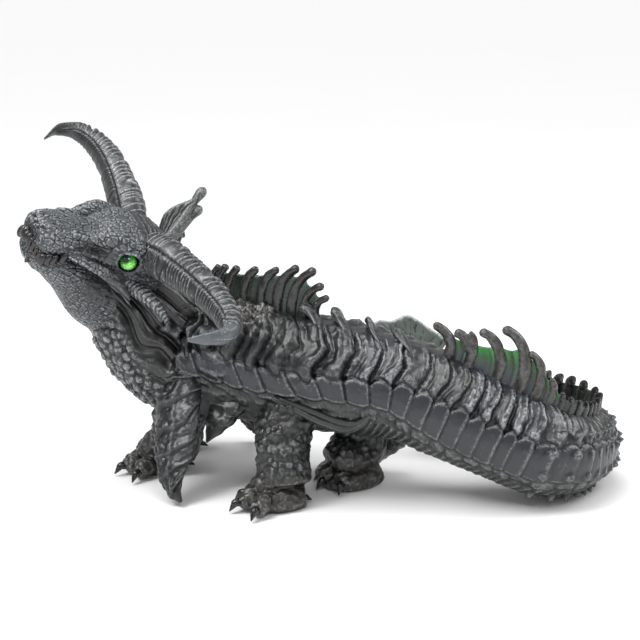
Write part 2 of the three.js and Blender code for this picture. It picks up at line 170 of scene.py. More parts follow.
def noiseVector(points, size, seed):
    return np.stack([noise(points, size, seed + i) for i in range(3)], 1)


# A steady number for each whole step of a count.
def stepNumber(steps, seed, hand=0):
    return latticeValue(np.floor(steps).astype(np.int64), hand, 0, seed)


def blend(base, other, share):
    return base + (other - base) * share


# A smooth curve through the rows, read at places counted in rows.
def curveAt(rows, place):
    rows = np.asarray(rows, float)
    held = np.vstack([2 * rows[0] - rows[1], rows, 2 * rows[-1] - rows[-2]])
    low = np.clip(np.floor(place).astype(int), 0, len(rows) - 2)
    part = (place - low)[:, None]
    a, b, c, d = held[low], held[low + 1], held[low + 2], held[low + 3]
    return b + part * (
        (c - a) / 2 + part * (a - 2.5 * b + 2 * c - d / 2 + part * (1.5 * (b - c) + (d - a) / 2))
    )


# Evenly spread points on that curve.
def curveThrough(rows, count):
    return curveAt(rows, np.linspace(0, len(rows) - 1, count))


def unit(vectors):
    return vectors / np.maximum(np.linalg.norm(vectors, axis=-1, keepdims=True), 1e-9)


def tangents(points):
    return unit(np.gradient(points, axis=0))


def circle(count, start=0.0):
    return (np.arange(count) + start) / count * 2 * np.pi


# The two parts of every ring's directions: one follows the cosine of the turn, the other its sine.
def ringWays(first, second, turn):
    return first[:, None] * np.cos(turn)[None, :, None], second[:, None] * np.sin(turn)[None, :, None]


# Falls away roundly over the last part of a share.
def roundEnd(share, start, length, least=0.02):
    return np.sqrt(np.clip(1 - ((share - start) / length).clip(0, 1) ** 2, least, 1))


# A round bump over the middle of a cell.
def dome(away):
    return np.sqrt(np.clip(1 - away**2, 0, 1))


def outwardFaces(verts, faces):
    tris = np.array([(face[0], face[i], face[i + 1]) for face in faces for i in range(1, len(face) - 1)])
    a, b, c = (verts[tris[:, i]] for i in range(3))
    if (a * np.cross(b, c)).sum() > 0:
        return verts, faces
    return verts, [face[::-1] for face in faces]


# A closed form from rings of points, with one more point in the middle of each end.
def tube(rings):
    count, around = rings.shape[:2]
    verts = np.vstack([rings.reshape(-1, 3), rings[0].mean(0), rings[-1].mean(0)])
    start = np.arange(count - 1)[:, None] * around
    spot = np.arange(around)[None, :]
    after = (spot + 1) % around
    quads = np.stack([start + spot, start + after, start + around + after, start + around + spot], -1)
    faces = [tuple(quad) for quad in quads.reshape(-1, 4).tolist()]
    first, last = count * around, count * around + 1
    base = (count - 1) * around
    for i in range(around):
        following = (i + 1) % around
        faces.append((following, i, first))
        faces.append((base + i, base + following, last))
    return outwardFaces(verts, faces)


# A value for each point of a tube, from the values for its rings.
def withEnds(values):
    return np.concatenate([values, values[:1], values[-1:]])


def joined(parts):
    verts, faces, start = [], [], 0
    for partVerts, partFaces in parts:
        verts.append(partVerts)
        faces += [tuple(i + start for i in face) for face in partFaces]
        start += len(partVerts)
    return np.vstack(verts), faces


def rawMesh(name, verts, faces):
    mesh = bpy.data.meshes.new(name)
    mesh.from_pydata(verts.tolist(), [], faces)
    mesh.update()
    return mesh


def putInScene(name, data):
    thing = bpy.data.objects.new(name, data)
    bpy.context.scene.collection.objects.link(thing)
    return thing


# One skin over closed forms, in millimetres.
def fuse(parts, voxel, smoothing):
    mesh = rawMesh("fusing", *joined(parts))
    thing = putInScene("fusing", mesh)
    remesh = thing.modifiers.new("skin", "REMESH")
    remesh.mode = "VOXEL"
    remesh.voxel_size = voxel
    done = thing.evaluated_get(bpy.context.evaluated_depsgraph_get()).to_mesh()
    verts = np.zeros(len(done.vertices) * 3, np.float32)
    done.vertices.foreach_get("co", verts)
    verts = verts.reshape(-1, 3).astype(float)
    faces = [tuple(polygon.vertices) for polygon in done.polygons]
    bpy.data.objects.remove(thing)
    bpy.data.meshes.remove(mesh)
    links = edgesOf(faces)
    for _ in range(smoothing):
        verts = softened(verts, links)
    return verts, faces


def edgesOf(faces):
    pairs = []
    for size in (4, 3):
        group = np.array([face for face in faces if len(face) == size])
        if len(group):
            pairs += [np.stack([group[:, i], group[:, (i + 1) % size]], 1) for i in range(size)]
    return np.unique(np.sort(np.vstack(pairs), axis=1), axis=0)


# Each point moves to the mean of its neighbours.
def softened(verts, links):
    one, other = links.T
    count = len(verts)
    near = np.bincount(one, minlength=count) + np.bincount(other, minlength=count)
    total = [np.bincount(one, line[other], count) + np.bincount(other, line[one], count) for line in verts.T]
    mean = np.stack(total, 1) / np.maximum(near, 1)[:, None]
    return verts + (mean - verts)


def normalsOf(verts, faces):
    normals = np.zeros_like(verts)
    for size in (3, 4):
        group = np.array([f for f in faces if len(f) == size])
        if not len(group):
            continue
        if size == 3:
            face = np.cross(verts[group[:, 1]] - verts[group[:, 0]], verts[group[:, 2]] - verts[group[:, 0]])
        else:
            face = np.cross(verts[group[:, 2]] - verts[group[:, 0]], verts[group[:, 3]] - verts[group[:, 1]])
        for corner in range(size):
            for axis in range(3):
                normals[:, axis] += np.bincount(group[:, corner], face[:, axis], len(verts))
    return unit(normals)


raisedMeasure = {
    "fineRounds": 3,  # rounds of softening before the fine measure is read
    "fine": 0.28,  # millimetres proud of the softened form that count as fully raised, for the dry brush and painted highlight
    "broad": 1.3,
    "spineRounds": 16,
}


# How far each point stands over the softened form, broad and fine. Hollows take painted shade from it, and
# raised parts take dry brush with painted highlight.
def measureRaised(verts, faces, rounds):
    links = edgesOf(faces)
    normals = normalsOf(verts, faces)
    soft = verts
    for number in range(rounds):
        soft = softened(soft, links)
        if number + 1 == raisedMeasure["fineRounds"]:
            fine = soft
    broad = ((verts - soft) * normals).sum(1)
    close = ((verts - fine) * normals).sum(1)
    return np.tanh(broad / raisedMeasure["broad"]), np.tanh(close / raisedMeasure["fine"]), normals


made = []
boxMargin = {"side": 2e-4, "floor": 2e-5}  # metres that the pieces stay inside the CAD box


def addValues(mesh, label, values):
    mesh.attributes.new(label, "FLOAT", "POINT").data.foreach_set("value", values.astype(np.float32))


def addColours(mesh, colours, material):
    full = np.ones((len(colours), 4), np.float32)
    full[:, :3] = colours
    mesh.attributes.new("paint", "FLOAT_COLOR", "POINT").data.foreach_set("color", full.ravel())
    mesh.materials.append(material)


def finishPiece(name, mesh, faces):
    piece = putInScene(name, mesh)
    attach(piece, "root")
    made.append(sum(len(face) - 2 for face in faces))
    print(name, made[-1], "triangles")
    return piece


# Paint holds red, green, blue, dry brush with painted highlight, and gloss for each point.
def makePiece(name, verts, faces, paint, rounds=14, measured=None):
    broad, close, normals = measured if measured else measureRaised(verts, faces, rounds)
    side, floor = boxMargin["side"], boxMargin["floor"]
    placed = np.clip(toFrame(verts), cadLow + (side, side, floor), cadHigh - side)
    mesh = rawMesh(name, placed, faces)
    mesh.shade_smooth()
    if measured:
        mesh.normals_split_custom_set_from_vertices(normals.tolist())
    for label, values in zip(("raised", "raisedFine", "brushAndHighlight", "gloss"), (broad, close, *paint[:, 3:].T)):
        addValues(mesh, label, values)
    addColours(mesh, paint[:, :3], resin)
    return finishPiece(name, mesh, faces)


def startMaterial(name):
    material = bpy.data.materials.new(name)
    material.use_nodes = True
    tree = material.node_tree

    # a socket takes a plain value or another node's output
    def fill(node, *sockets):
        for socket, value in sockets:
            if isinstance(value, bpy.types.NodeSocket):
                tree.links.new(value, node.inputs[socket])
            else:
                node.inputs[socket].default_value = value
        return node

    def make(kind, *sockets, **settings):
        node = tree.nodes.new(kind)
        for key, value in settings.items():
            setattr(node, key, value)
        return fill(node, *sockets)

    def speckle(size, detail, *more):
        place = make("ShaderNodeTexCoord").outputs["Object"]
        sockets = (("Vector", place), ("Scale", size), ("Detail", detail), *more)
        return make("ShaderNodeTexNoise", *sockets).outputs["Fac"]

    return material, tree.nodes["Principled BSDF"], make, fill, speckle


# A span holds two values read, and the two given back for them.
def mapped(make, value, span, way="LINEAR"):
    sockets = zip(("From Min", "From Max", "To Min", "To Max"), span)
    return make("ShaderNodeMapRange", ("Value", value), *sockets, interpolation_type=way).outputs["Result"]


resinLook = {
    "creviceShade": (0.0022, 0.0026, 0.0028),
    # dryBrush is pale paint over raised parts, partly the statue's dry brushing and partly painted highlight;
    # the next colour is a painted highlight along fine edges.
    "dryBrush": (0.15, 0.165, 0.172),
    "paintedEdgeHighlight": (0.42, 0.44, 0.45),
    "patch": (0.013, 0.014, 0.015),
    "patchSize": 55,
    "fleckSize": 380,
    "patchSpan": (0.35, 0.7, 0.0, 0.4),  # from the patches' noise to the share of their colour
    "creviceShadeSpan": (-0.04, -0.5, 0.0, 0.94),  # from a hollow's depth to the share of painted shade
    "glossSpan": (0.0, 1.0, 1.0, 0.3),  # glossy places keep less of it
    "brushSpan": (0.25, 0.95, 0.0, 0.7),
    "edgeSpan": (0.42, 0.95, 0.0, 1.0),
    "fleckBrush": (0.38, 0.62, 0.1, 1.0),
    "patchBrush": (0.36, 0.66, 0.3, 1.2),
    "roughSpan": (0.3, 0.75, 0.27, 0.44),  # from the patches' noise to the roughness
    "glossRoughness": 0.14,
    "specular": 0.6,
    "bumpStrength": 0.5,
    "bumpDepth": 0.0005,
}


def makeResin(look):
    material, shader, make, fill, speckle = startMaterial("paintedResin")
    paint = make("ShaderNodeAttribute", attribute_name="paint").outputs["Color"]
    raised, fine, brushAndHighlight, gloss = (
        make("ShaderNodeAttribute", attribute_name=name).outputs["Fac"]
        for name in ("raised", "raisedFine", "brushAndHighlight", "gloss")
    )
    patch = speckle(look["patchSize"], 6, ("Roughness", 0.65))
    fleck = speckle(look["fleckSize"], 4, ("Roughness", 0.7))

    def maths(operation, one, other):
        return make("ShaderNodeMath", (0, one), (1, other), operation=operation).outputs[0]

    def span(value, name):
        return mapped(make, value, look[name], "SMOOTHSTEP")

    def over(share, base, name):
        sockets = (0, share), (6, base), (7, (*look[name], 1))
        return make("ShaderNodeMix", *sockets, data_type="RGBA").outputs[2]

    both = maths("MULTIPLY", maths("ADD", raised, fine), 0.6)
    brush = maths("MULTIPLY", span(fleck, "fleckBrush"), brushAndHighlight)
    broadBrush = maths("MULTIPLY", span(patch, "patchBrush"), brush)
    colour = over(span(patch, "patchSpan"), paint, "patch")
    # painted shade: hollows darkened toward black, less where the paint is glossy
    colour = over(maths("MULTIPLY", span(both, "creviceShadeSpan"), span(gloss, "glossSpan")), colour, "creviceShade")
    # pale dry brush over raised parts, partly painted highlight
    colour = over(maths("MULTIPLY", span(both, "brushSpan"), broadBrush), colour, "dryBrush")
    # painted highlight along fine raised edges
    colour = over(maths("MULTIPLY", span(fine, "edgeSpan"), brush), colour, "paintedEdgeHighlight")
    roughness = (0, gloss), (2, span(patch, "roughSpan")), (3, look["glossRoughness"])
    roughness = make("ShaderNodeMix", *roughness, data_type="FLOAT").outputs[0]
    bumps = ("Height", fleck), ("Strength", look["bumpStrength"]), ("Distance", look["bumpDepth"])
    bumps = make("ShaderNodeBump", *bumps).outputs["Normal"]
    fill(shader, ("Base Color", colour), ("Roughness", roughness), ("Normal", bumps))
    fill(shader, ("Specular IOR Level", look["specular"]))
    return material


resin = makeResin(resinLook)

# Red, green, blue, how much pale dry brush and painted highlight its edges take, and gloss.
paints = {
    "charcoal": (0.019, 0.022, 0.024, 0.34, 0),
    "head": (0.084, 0.098, 0.107, 1.05, 0),
    "horn": (0.034, 0.039, 0.041, 0.62, 0),
    "plate": (0.015, 0.018, 0.023, 0.3, 0.05),
    "moss": (0.024, 0.028, 0.025, 0.28, 0),
    "fold": (0.015, 0.017, 0.018, 0.3, 0.1),
    "foot": (0.032, 0.029, 0.024, 0.34, 0),
    "hook": (0.032, 0.027, 0.021, 0.2, 0.25),
    "web": (0.035, 0.38, 0.045, 0.15, 0.5),
    "webDark": (0.006, 0.014, 0.009, 0.15, 0.3),
    "membrane": (0.065, 0.078, 0.070, 0.8, 0),
    "rock": (0.036, 0.030, 0.023, 0.5, 0),
    # neck is near black: painted shade in the neck's recess, inside the bend and where the legs go under the
    # body; also the front crest spines' own dark.
    "neck": (0.0075, 0.0078, 0.0072, 0.08, 0),
    "claw": (0.005, 0.005, 0.005, 0, 0.8),
    # crack is the dark between scales; the head also takes it as painted shade in its hollows.
    "crack": (0.004, 0.0045, 0.005, 0, 0),
}
paints = {key: np.array(value) for key, value in paints.items()}


def blendPaint(base, other, share):
    return blend(base, other, np.clip(share, 0, 1)[:, None])


def evenPaint(tone, count):
    return np.tile(tone, (count, 1))


# A tube round a line of centres; shape takes the place along it and the turn round it.
def sweep(centres, radii, sides, guide, flat=1.0, shape=None):
    along = tangents(centres)
    side = np.array(guide, float)
    sideways = []
    for step in along:
        side = side - step * side.dot(step)
        side = side / np.linalg.norm(side)
        sideways.append(side)
    sideways = np.array(sideways)
    turn = circle(sides)
    wide = radii[:, None] * np.ones(sides)
    if shape is not None:
        wide = wide * shape(np.linspace(0, 1, len(centres))[:, None], turn[None, :])
    sidePart, upPart = ringWays(sideways, np.cross(sideways, along), turn)
    return centres[:, None] + (sidePart + upPart * flat) * wide[..., None]


def roundLimb(rows, stations, sides, guide=(0.82, 0.57, 0.0)):
    values = curveThrough(np.array(rows, float), stations)
    return tube(sweep(values[:, :3], np.maximum(values[:, 3], 0.4), sides, guide))


def ballPart(centre, radii, axes=np.eye(3), rings=14, around=20):
    lift = np.linspace(-np.pi / 2, np.pi / 2, rings + 2)[1:-1, None]
    turn = circle(around)[None, :]
    local = np.stack([np.cos(lift) * np.cos(turn), np.cos(lift) * np.sin(turn), np.sin(lift) + 0 * turn], -1)
    centre, radii = np.array(centre, float), np.array(radii, float)
    verts, faces = tube((local * radii) @ axes + centre)
    pole = axes[2] * radii[2]
    verts[-2] = centre - pole
    verts[-1] = centre + pole
    return verts, faces


spine = {
    # centre x y z, half width, half height, the way the back faces
    "rows": [
        (-212, -66, 230, 38, 44, 0.5, 0.6, 0.62),
        (-198, -53, 200, 46, 59, 0.58, 0.58, 0.56),
        (-186, -38, 163, 55, 67, 0.52, 0.5, 0.68),
        (-161, -16, 130, 58, 70, 0.36, 0.35, 0.86),
        (-92, 4, 127, 58, 65, 0, 0, 1),
        (-26, 16, 123, 57, 63, 0, 0, 1),
        (26, 34, 119, 55, 58, 0, 0, 1),
        (66, 50, 113, 53, 55, 0, 0, 1),
        (112, 69, 95, 52, 54, 0, 0, 1),
        (157, 90, 74, 50, 51, 0, 0, 1),
        (194, 113, 56, 48, 50, 0, 0, 1),
        (204, 152, 46, 45, 46, 0, 0, 1),
        (192, 198, 43, 43, 44, 0, 0, 1),
        (146, 224, 39, 38, 39, 0, 0, 1),
        (92, 223, 35, 32, 35, 0, 0, 1),
        (48, 203, 44, 26, 28, 0.3, 0.3, 0.9),
        (22, 181, 68, 19, 21, 0.6, 0.45, 0.65),
        (11, 166, 98, 12, 14, 0.75, 0.6, 0.2),
        (8, 160, 122, 7, 8, 0.75, 0.6, 0.1),
    ],
    "skin": 0.975,  # the even skin, as a share of the rows' half sizes
    "splitRow": 7.1,  # the trunk's mesh ends and the tail's begins here
    "trunkStep": 0.98,
    "trunkAround": 228,
    "tailStep": 1.3,
    "tailAround": 172,
    # plate length in millimetres at some rows
    "plateRows": (0, 3, 6.1, 6.6, 7, 9, 10, 11, 12, 13, 14, 16, 18),
    "plateLengths": (24, 27, 27.5, 23, 20, 16.5, 13, 11, 11, 12, 13, 11, 8),
    "hemAt": 5.08,  # a fold's edge leaves the crest at this row
    "hemShare": 0.72,  # and lies this far across its plate
}
spineRows = np.array(spine["rows"], float)
lastRow = len(spineRows) - 1
fineRows = np.linspace(0, lastRow, 6001)
fineCentres = curveAt(spineRows[:, :3], fineRows)
fineLengths = np.concatenate([[0], np.cumsum(np.linalg.norm(np.diff(fineCentres, axis=0), axis=1))])
finePlates = np.interp(fineRows, spine["plateRows"], spine["plateLengths"])
finePlates = np.concatenate([[0], np.cumsum(np.diff(fineLengths) / finePlates[1:])])
finePlates += spine["hemShare"] - np.interp(spine["hemAt"], fineRows, finePlates) % 1


# In millimetres: how far the spine's skin stays over the floor, and how what is nearly down is laid flat.
ground = {"gap": 0.05, "flatBelow": 1.2, "flatAt": 0.02, "flatShare": 0.9}


# The centre, the ways along, to the side and to the back, and the half width and height.
def spineAt(rows):
    rows = np.asarray(rows, float)
    values = curveAt(spineRows, rows)
    nudge = 0.004
    along = unit(curveAt(spineRows[:, :3], rows + nudge) - curveAt(spineRows[:, :3], rows - nudge))
    side = unit(np.cross(along, values[:, 5:8]))
    back = np.cross(side, along)
    return values[:, :3], along, side, back, values[:, 3], values[:, 4]


# The centre, the way from it to the skin at some degrees from the back, and the way along.
def spineSkin(rows, degrees):
    centre, along, side, back, width, height = spineAt(rows)
    turn = np.radians(degrees)[:, None]
    return centre, back * np.cos(turn) * height[:, None] + side * np.sin(turn) * width[:, None], along


# How far each plate's edge swings tailward at an angle from the back, in plates.
foldSwing = {
    "angle": (0, 10, 24, 38, 48, 56, 64, 70, 76, 90, 108, 130, 180),
    "shoulders": (0.0, 0.14, 0.42, 0.64, 0.72, 0.64, 0.46, 0.36, 0.36, 0.68, 1.1, 1.35, 1.6),
    "tail": (0.0, 0.12, 0.34, 0.46, 0.44, 0.36, 0.3, 0.26, 0.24, 0.24, 0.26, 0.3, 0.5),
}
bumps = {
    # row, angle from the back, size
    "neckKnobs": [
        (1.97, 81, 1.2),
        (2.19, 72, 1.3),
        (2.6, 66, 1.0),
        (3.0, 62, 1.0),
        (3.4, 64, 1.1),
        (3.57, 58, 1.2),
    ],
    "boss": (3.78, 84, 0.27, 12.5),  # the round shoulder: row, angle and half sizes
    "thornRows": (9.6, 10.0, 12.6, 13.2),  # the tail's bend bears thorns over these
    "thornAngles": (57, 81, 108, 152),
}

# Millimetres of relief, and the rows along the spine where one skin becomes another.
bodySkin = {
    "tailRows": (4.6, 7.2),
    "bendRows": (9.1, 9.9),
    "rockRows": (3.0, 3.3, 4.3, 4.6),
    "hollowRows": (9.7, 10.3, 13.1, 13.9),
    "neckRows": (3.5, 3.0),
    "foldHeight": (4.6, 3.2),  # the least, and what a fold's own number adds to it
    "foldCrown": (0.62, 0.22),
    "foldGap": 2.6,
    "knuckle": (1.4, 4.6),
    "knuckleAt": 63,  # degrees from the back
    "plateTop": 75,
    "plateBottom": 99,
    "plateHeight": (1.4, 1.0),
    "plateRim": 0.9,
    "knobHeight": (1.6, 2.6),
    "knobBand": 19,
    "ribHeight": 2.2,
    "rockHeight": 4.6,
    "hollowDepth": 13,
    "scaleSize": 8.4,
    "scaleHeight": (2.0, 4.4),
    "cordHeight": 7.5,
    "throatDepth": 10.0,
    "neckKnob": 9.0,
    "thorn": 6.5,
    "size": ((0, 3, 7, 12, 15, 18), (0.9, 1, 1, 0.85, 0.55, 0.25)),  # rows, and the relief's share there
}


# What all the reliefs of the body are drawn from.
def bodyPlaces(row, angle, points):
    away = np.abs(angle)
    toTail = ramp(*bodySkin["tailRows"], row)
    swing = np.interp(away, foldSwing["angle"], foldSwing["shoulders"]) * (1 - toTail)
    swing += np.interp(away, foldSwing["angle"], foldSwing["tail"]) * toTail
    wander = 0.22 * noise(points, 27, 3) + 0.06 * noise(points, 9, 4)
    at = SimpleNamespace(row=row, angle=angle, away=away, points=points, toTail=toTail, wander=wander)
    at.hand = (angle > 0).astype(np.int64)
    at.place = np.interp(row, fineRows, finePlates) - swing + wander * (0.25 + 0.75 * ramp(78, 60, away))
    at.across = at.place - np.floor(at.place)
    at.wide = np.abs(2 * at.across - 1)
    at.own, at.other, at.third = (stepNumber(at.place, seed, at.hand) for seed in (5, 6, 8))
    # streaks that run the way the folds hang
    at.streak = grain(21, at.place * 7, away / 26, at.hand * 9.0)
    at.streakFine = grain(22, at.place * 15, away / 20, at.hand * 9.0)
    # thin winding ridges, as in wrinkled leather
    warp = points + 6 * noiseVector(points, 16, 25)
    at.veins = bump(noise(warp, 10, 28), 0, 0.1) + 0.7 * bump(noise(warp, 6.5, 29), 0, 0.11)
    # the flank plates have rounded tops in the tail
    roundTop = (1.5 + 6.5 * toTail) * (1 - at.wide**2.4)
    at.top = bodySkin["plateTop"] - roundTop + 9 * (at.own - 0.5) * (1 - 0.7 * toTail) + 3 * wander
    at.top += 6.0 * bump(at.across, 0.66, 0.22) * (1 - toTail) * (0.3 + at.own)
    at.bottom = bodySkin["plateBottom"] + 17 * ramp(6.6, 8.6, row) + 2.5 * (1 - at.wide**2)
    return at


# Folds lap over one another like a curtain, some of them doubled.
def upperFolds(at):
    least, more = bodySkin["foldHeight"]
    tall = (least + more * at.other) * (1 - 0.25 * at.toTail)
    least, more = bodySkin["foldCrown"]
    crown = least + more * at.own
    folds = tall * lap(at.across, crown, 1.1) * (0.3 + 0.7 * ramp(2, 26, at.away))
    folds -= bodySkin["foldGap"] * bump(at.across, 1.0, 0.06) * ramp(6, 20, at.away)
    inner = (at.across * 2.0 + 0.6 * at.third) % 1
    doubled = 1.3 * ramp(0.6, 0.85, at.third) * (lap(inner, 0.7) - 0.3)
    folds += doubled * ramp(8, 24, at.away) * ramp(1.0, 0.75, at.across)
    streakLong = grain(23, at.place * 2.2, at.away / 34, at.hand * 9.0)
    streaks = (0.1 + 0.8 * at.own + 0.4 * at.toTail) * at.streak + (0.3 + 0.3 * at.toTail) * at.streakFine
    folds += (streaks + 1.3 * streakLong) * ramp(6, 26, at.away)
    folds += (0.5 - 0.3 * at.toTail) * at.veins * ramp(6, 26, at.away)
    least, more = bodySkin["knuckle"]
    knuckles = bump(at.away, bodySkin["knuckleAt"] + 8 * (at.third - 0.5), 8.5)
    folds += (least + more * at.own) * bump(at.across, crown - 0.1, 0.26) * knuckles
    folds += 1.5 * rough(at.points, 15, 91) * ramp(0, 20, at.away) - 3.6
    # round the bend they are long flat creases
    creases = 0.3 * folds + 0.6 * at.streakFine + 0.5 * at.streak - 0.6
    return blend(folds, creases, ramp(*bodySkin["bendRows"], at.row))


# Smooth plates along the flank lap tailward.
def flankPlates(at):
    least, more = bodySkin["plateHeight"]
    plates = (least + more * at.third) * lap(at.across, 0.93, 0.8) - 0.8 + 0.7 * (at.other - 0.5)
    plates -= 1.3 * bump(at.wide, 1.0, 0.05)
    plates += (0.4 * at.streak + 0.25 * at.veins) * (1 - at.toTail) + 0.08 * at.veins
    plates -= 0.5 * (1 - at.wide**2) * (1 - at.toTail)
    plates += bodySkin["plateRim"] * bump(at.away, at.bottom - 2.0, 1.5)
    plates += 0.8 * at.toTail * bump(at.away, at.top + 2.6, 1.4)
    return plates + 0.4 * rough(at.points, 14, 24) + 0.12 * at.streakFine


# Small knobs below the tail's plates.
def knobRow(at):
    place = at.place + 0.5 + 0.15 * noise(at.points, 12, 33)
    across = place - np.floor(place)
    own = stepNumber(place, 7, at.hand)
    tall = np.clip(np.abs(at.away - at.bottom - 4 - 6 * own) / (6 + 5 * own), 0, 1.6)
    reach = (tall**2.3 + (np.abs(2 * across - 1) * 1.06) ** 2.3) ** (1 / 2.3)
    least, more = bodySkin["knobHeight"]
    return (least + more * own) * dome(reach) - 2.0 + 0.8 * rough(at.points, 7, 31)


# Wrinkled skin in front and knobs in the tail, then ribs along the belly.
def lowerSkin(at):
    wrinkle = grain(35, at.place * 2.4, at.away / 4.2, at.hand * 9.0)
    skin = 0.9 * wrinkle + 1.0 * rough(at.points, 11, 34) + 0.4 * at.veins - 1.3
    low = blend(skin, knobRow(at), ramp(5.6, 6.8, at.row))
    ribs = bodySkin["ribHeight"] * (ridge(at.place * 2 + at.away / 22, 0.9) - 1)
    ribs += 0.7 * rough(at.points, 6, 41)
    return low, blend(skin * 0.8 - 0.6, ribs, ramp(5.0, 7.0, at.row))


# Inside the crest the back of the bend is a deep hollow with spokes.
def bendHollow(height, at):
    start, full, last, end = bodySkin["hollowRows"]
    bent = ramp(start, full, at.row) * ramp(end, last, at.row)
    at.hollow = ramp(20, 12, at.angle) * ramp(-84, -60, at.angle) * bent
    spokes = 2.2 * ridge(at.place * 2, 1.2) + 0.5 * at.streakFine - 1.5
    height = blend(height, spokes - bodySkin["hollowDepth"] * bump(at.angle, -22, 28), at.hollow)
    return height * (1 - 0.6 * bump(at.angle, -95, 45) * bent)  # the curl's inside is tight


# The neck has knobby scales in front and deep cords down its sides.
def throat(at):
    _, centre, cell = cells(at.points, bodySkin["scaleSize"], 61)
    least, more = bodySkin["scaleHeight"]
    scales = (least + more * cell) * dome(centre / 0.72) - 3.0 + 0.6 * rough(at.points, 5, 62)
    flow = at.away / 17 + 0.8 * noise(at.points, 36, 71) + at.row * 0.3
    cords = bodySkin["cordHeight"] * ridge(flow, 1.2) - 6.0
    cords += 1.3 * ridge(flow * 3.3 + 0.6 * noise(at.points, 18, 72), 1.1)
    cords -= bodySkin["throatDepth"] * bump(at.away, 78, 32) * ramp(0.4, 1.0, at.row) * ramp(3.3, 2.6, at.row)
    return blend(cords, scales, ramp(110, 128, at.away))


# The round shoulder, the knobs where the neck's cords end, and the thorns of the bend.
def bodyBumps(height, at):
    row, angle, long, wide = bumps["boss"]
    reach = ((at.row - row) / long) ** 2 + ((at.away - angle) / wide) ** 2
    at.boss = ramp(1.5, 0.3, reach)
    boss = 0.5 + 4.5 * np.sqrt(np.clip(1 - reach / 1.3, 0, 1)) + 1.1 * rough(at.points, 9, 81)
    height = blend(height, boss, at.boss)
    at.knobs = 0
    for row, angle, size in bumps["neckKnobs"]:
        reach = ((at.row - row) / 0.09) ** 2 + ((at.away - angle) / 4.6) ** 2
        at.knobs = at.knobs + np.exp(-reach / size)
    height += bodySkin["neckKnob"] * at.knobs
    first, full, last, gone = bumps["thornRows"]
    thorny = ramp(first, full, at.row) * ramp(gone, last, at.row) * (at.angle > 0)
    for angle in bumps["thornAngles"]:
        reach = np.hypot((at.across - 0.8) / 0.3, (at.away - angle) / 7)
        height += bodySkin["thorn"] * thorny * np.clip(1 - reach, 0, 1) ** 1.2
    return height


def bodyRelief(at):
    low, ribs = lowerSkin(at)
    height = blend(upperFolds(at), flankPlates(at), ramp(-1.6, 1.2, at.away - at.top))
    height -= 1.9 * bump(at.away, at.top - 0.5, 2.2)
    height = blend(height, low, ramp(-0.5, 1.2, at.away - at.bottom))
    height -= 0.9 * bump(at.away, at.bottom + 0.6, 1.3)
    height = blend(height, ribs, ramp(-2, 2, at.away - at.bottom - bodySkin["knobBand"]))
    # rough stone-like back in front of the first crest
    start, full, last, end = bodySkin["rockRows"]
    at.rock = ramp(start, full, at.row) * ramp(end, last, at.row) * ramp(46, 34, at.away)
    stone = bodySkin["rockHeight"] * rough(at.points, 9, 51, 4) + 2.5 * bump(at.away, 20, 12)
    height = bendHollow(blend(height, stone, at.rock), at)
    at.neck = ramp(*bodySkin["neckRows"], at.row + 0.004 * (at.away - 70))
    height = blend(height, throat(at), at.neck) * np.interp(at.row, *bodySkin["size"])
    return bodyBumps(height, at)


def bodyPaint(at):
    tint = evenPaint(paints["fold"], len(at.row))
    # A painted bluish sheen on some of the tail's upper folds, which also take more dry brush.
    bright = at.toTail * ramp(0.35, 0.8, at.other) * ramp(11, 9, at.row)
    for tone, share in (
        (paints["fold"] * (0.75, 0.75, 0.75, 0.3, 0), 1 - at.toTail),
        (paints["fold"] * (1.5, 1.6, 1.8, 2.1, 1), bright),
        (paints["plate"], ramp(-1, 1, at.away - at.top) * ramp(1, -1, at.away - at.bottom)),
        (paints["moss"], ramp(-1, 1, at.away - at.bottom)),
        (paints["rock"], at.rock),
        # painted shade: the hollow inside the bend, then the neck's recess under the horns
        (paints["neck"], at.hollow),
        (paints["neck"], at.neck * ramp(128, 112, at.away)),
        (paints["charcoal"] * (1, 1, 1, 1.8, 1), at.neck * ramp(112, 128, at.away)),
        (paints["plate"] * (1.1, 1.1, 1.25, 1, 1), at.boss * 0.8),
        # painted highlight: the neck's knobs are painted lighter as glints
        (paints["head"] * 0.55, at.knobs),
        (paints["charcoal"], ramp(11.5, 13, at.row) * 0.7),
    ):
        tint = blendPaint(tint, tone, share)
    return tint


# The tube between two rows. How far each point stands proud, and the shading, are measured on a longer one,
# so that two tubes meet unseen.
def spineTube(fromRow, toRow, step, around, spare=16):
    low, high = np.interp([fromRow, toRow], fineRows, fineLengths)
    count = int(round((high - low) / step)) + 1
    lead = low - np.arange(spare, 0, -1) * step
    lead = lead[lead > 0]
    trail = high + np.arange(1, spare + 1) * step
    lengths = np.concatenate([lead, np.linspace(low, high, count), trail[trail < fineLengths[-1]]])
    rows = np.interp(lengths, fineLengths, fineRows)
    centre, along, side, back, width, height = spineAt(rows)
    angle = (np.arange(around) + 0.5) / around * 360 - 180
    backPart, sidePart = ringWays(back, side, np.radians(angle))
    tall, wide = height[:, None, None], width[:, None, None]
    outward = unit(backPart / tall + sidePart / wide).reshape(-1, 3)
    flat = (centre[:, None] + spine["skin"] * (backPart * tall + sidePart * wide)).reshape(-1, 3)
    at = bodyPlaces(np.repeat(rows, around), np.tile(angle, len(rows)), flat)
    flat = flat + outward * bodyRelief(at)[:, None]
    flat[:, 2] = np.maximum(flat[:, 2], ground["gap"])
    measured = measureRaised(*tube(flat.reshape(len(rows), around, 3)), raisedMeasure["spineRounds"])
    kept = slice(len(lead) * around, (len(lead) + count) * around)
    verts, faces = tube(flat[kept].reshape(count, around, 3))
    return verts, faces, withEnds(bodyPaint(at)[kept]), [withEnds(values[kept]) for values in measured]


def buildSpine(name, fromRow, toRow):
    verts, faces, paint, measured = spineTube(fromRow, toRow, spine[name + "Step"], spine[name + "Around"])
    return makePiece(name, verts, faces, paint, measured=measured)


trunk = buildSpine("trunk", 0, spine["splitRow"])
tail = buildSpine("tail", spine["splitRow"], lastRow)


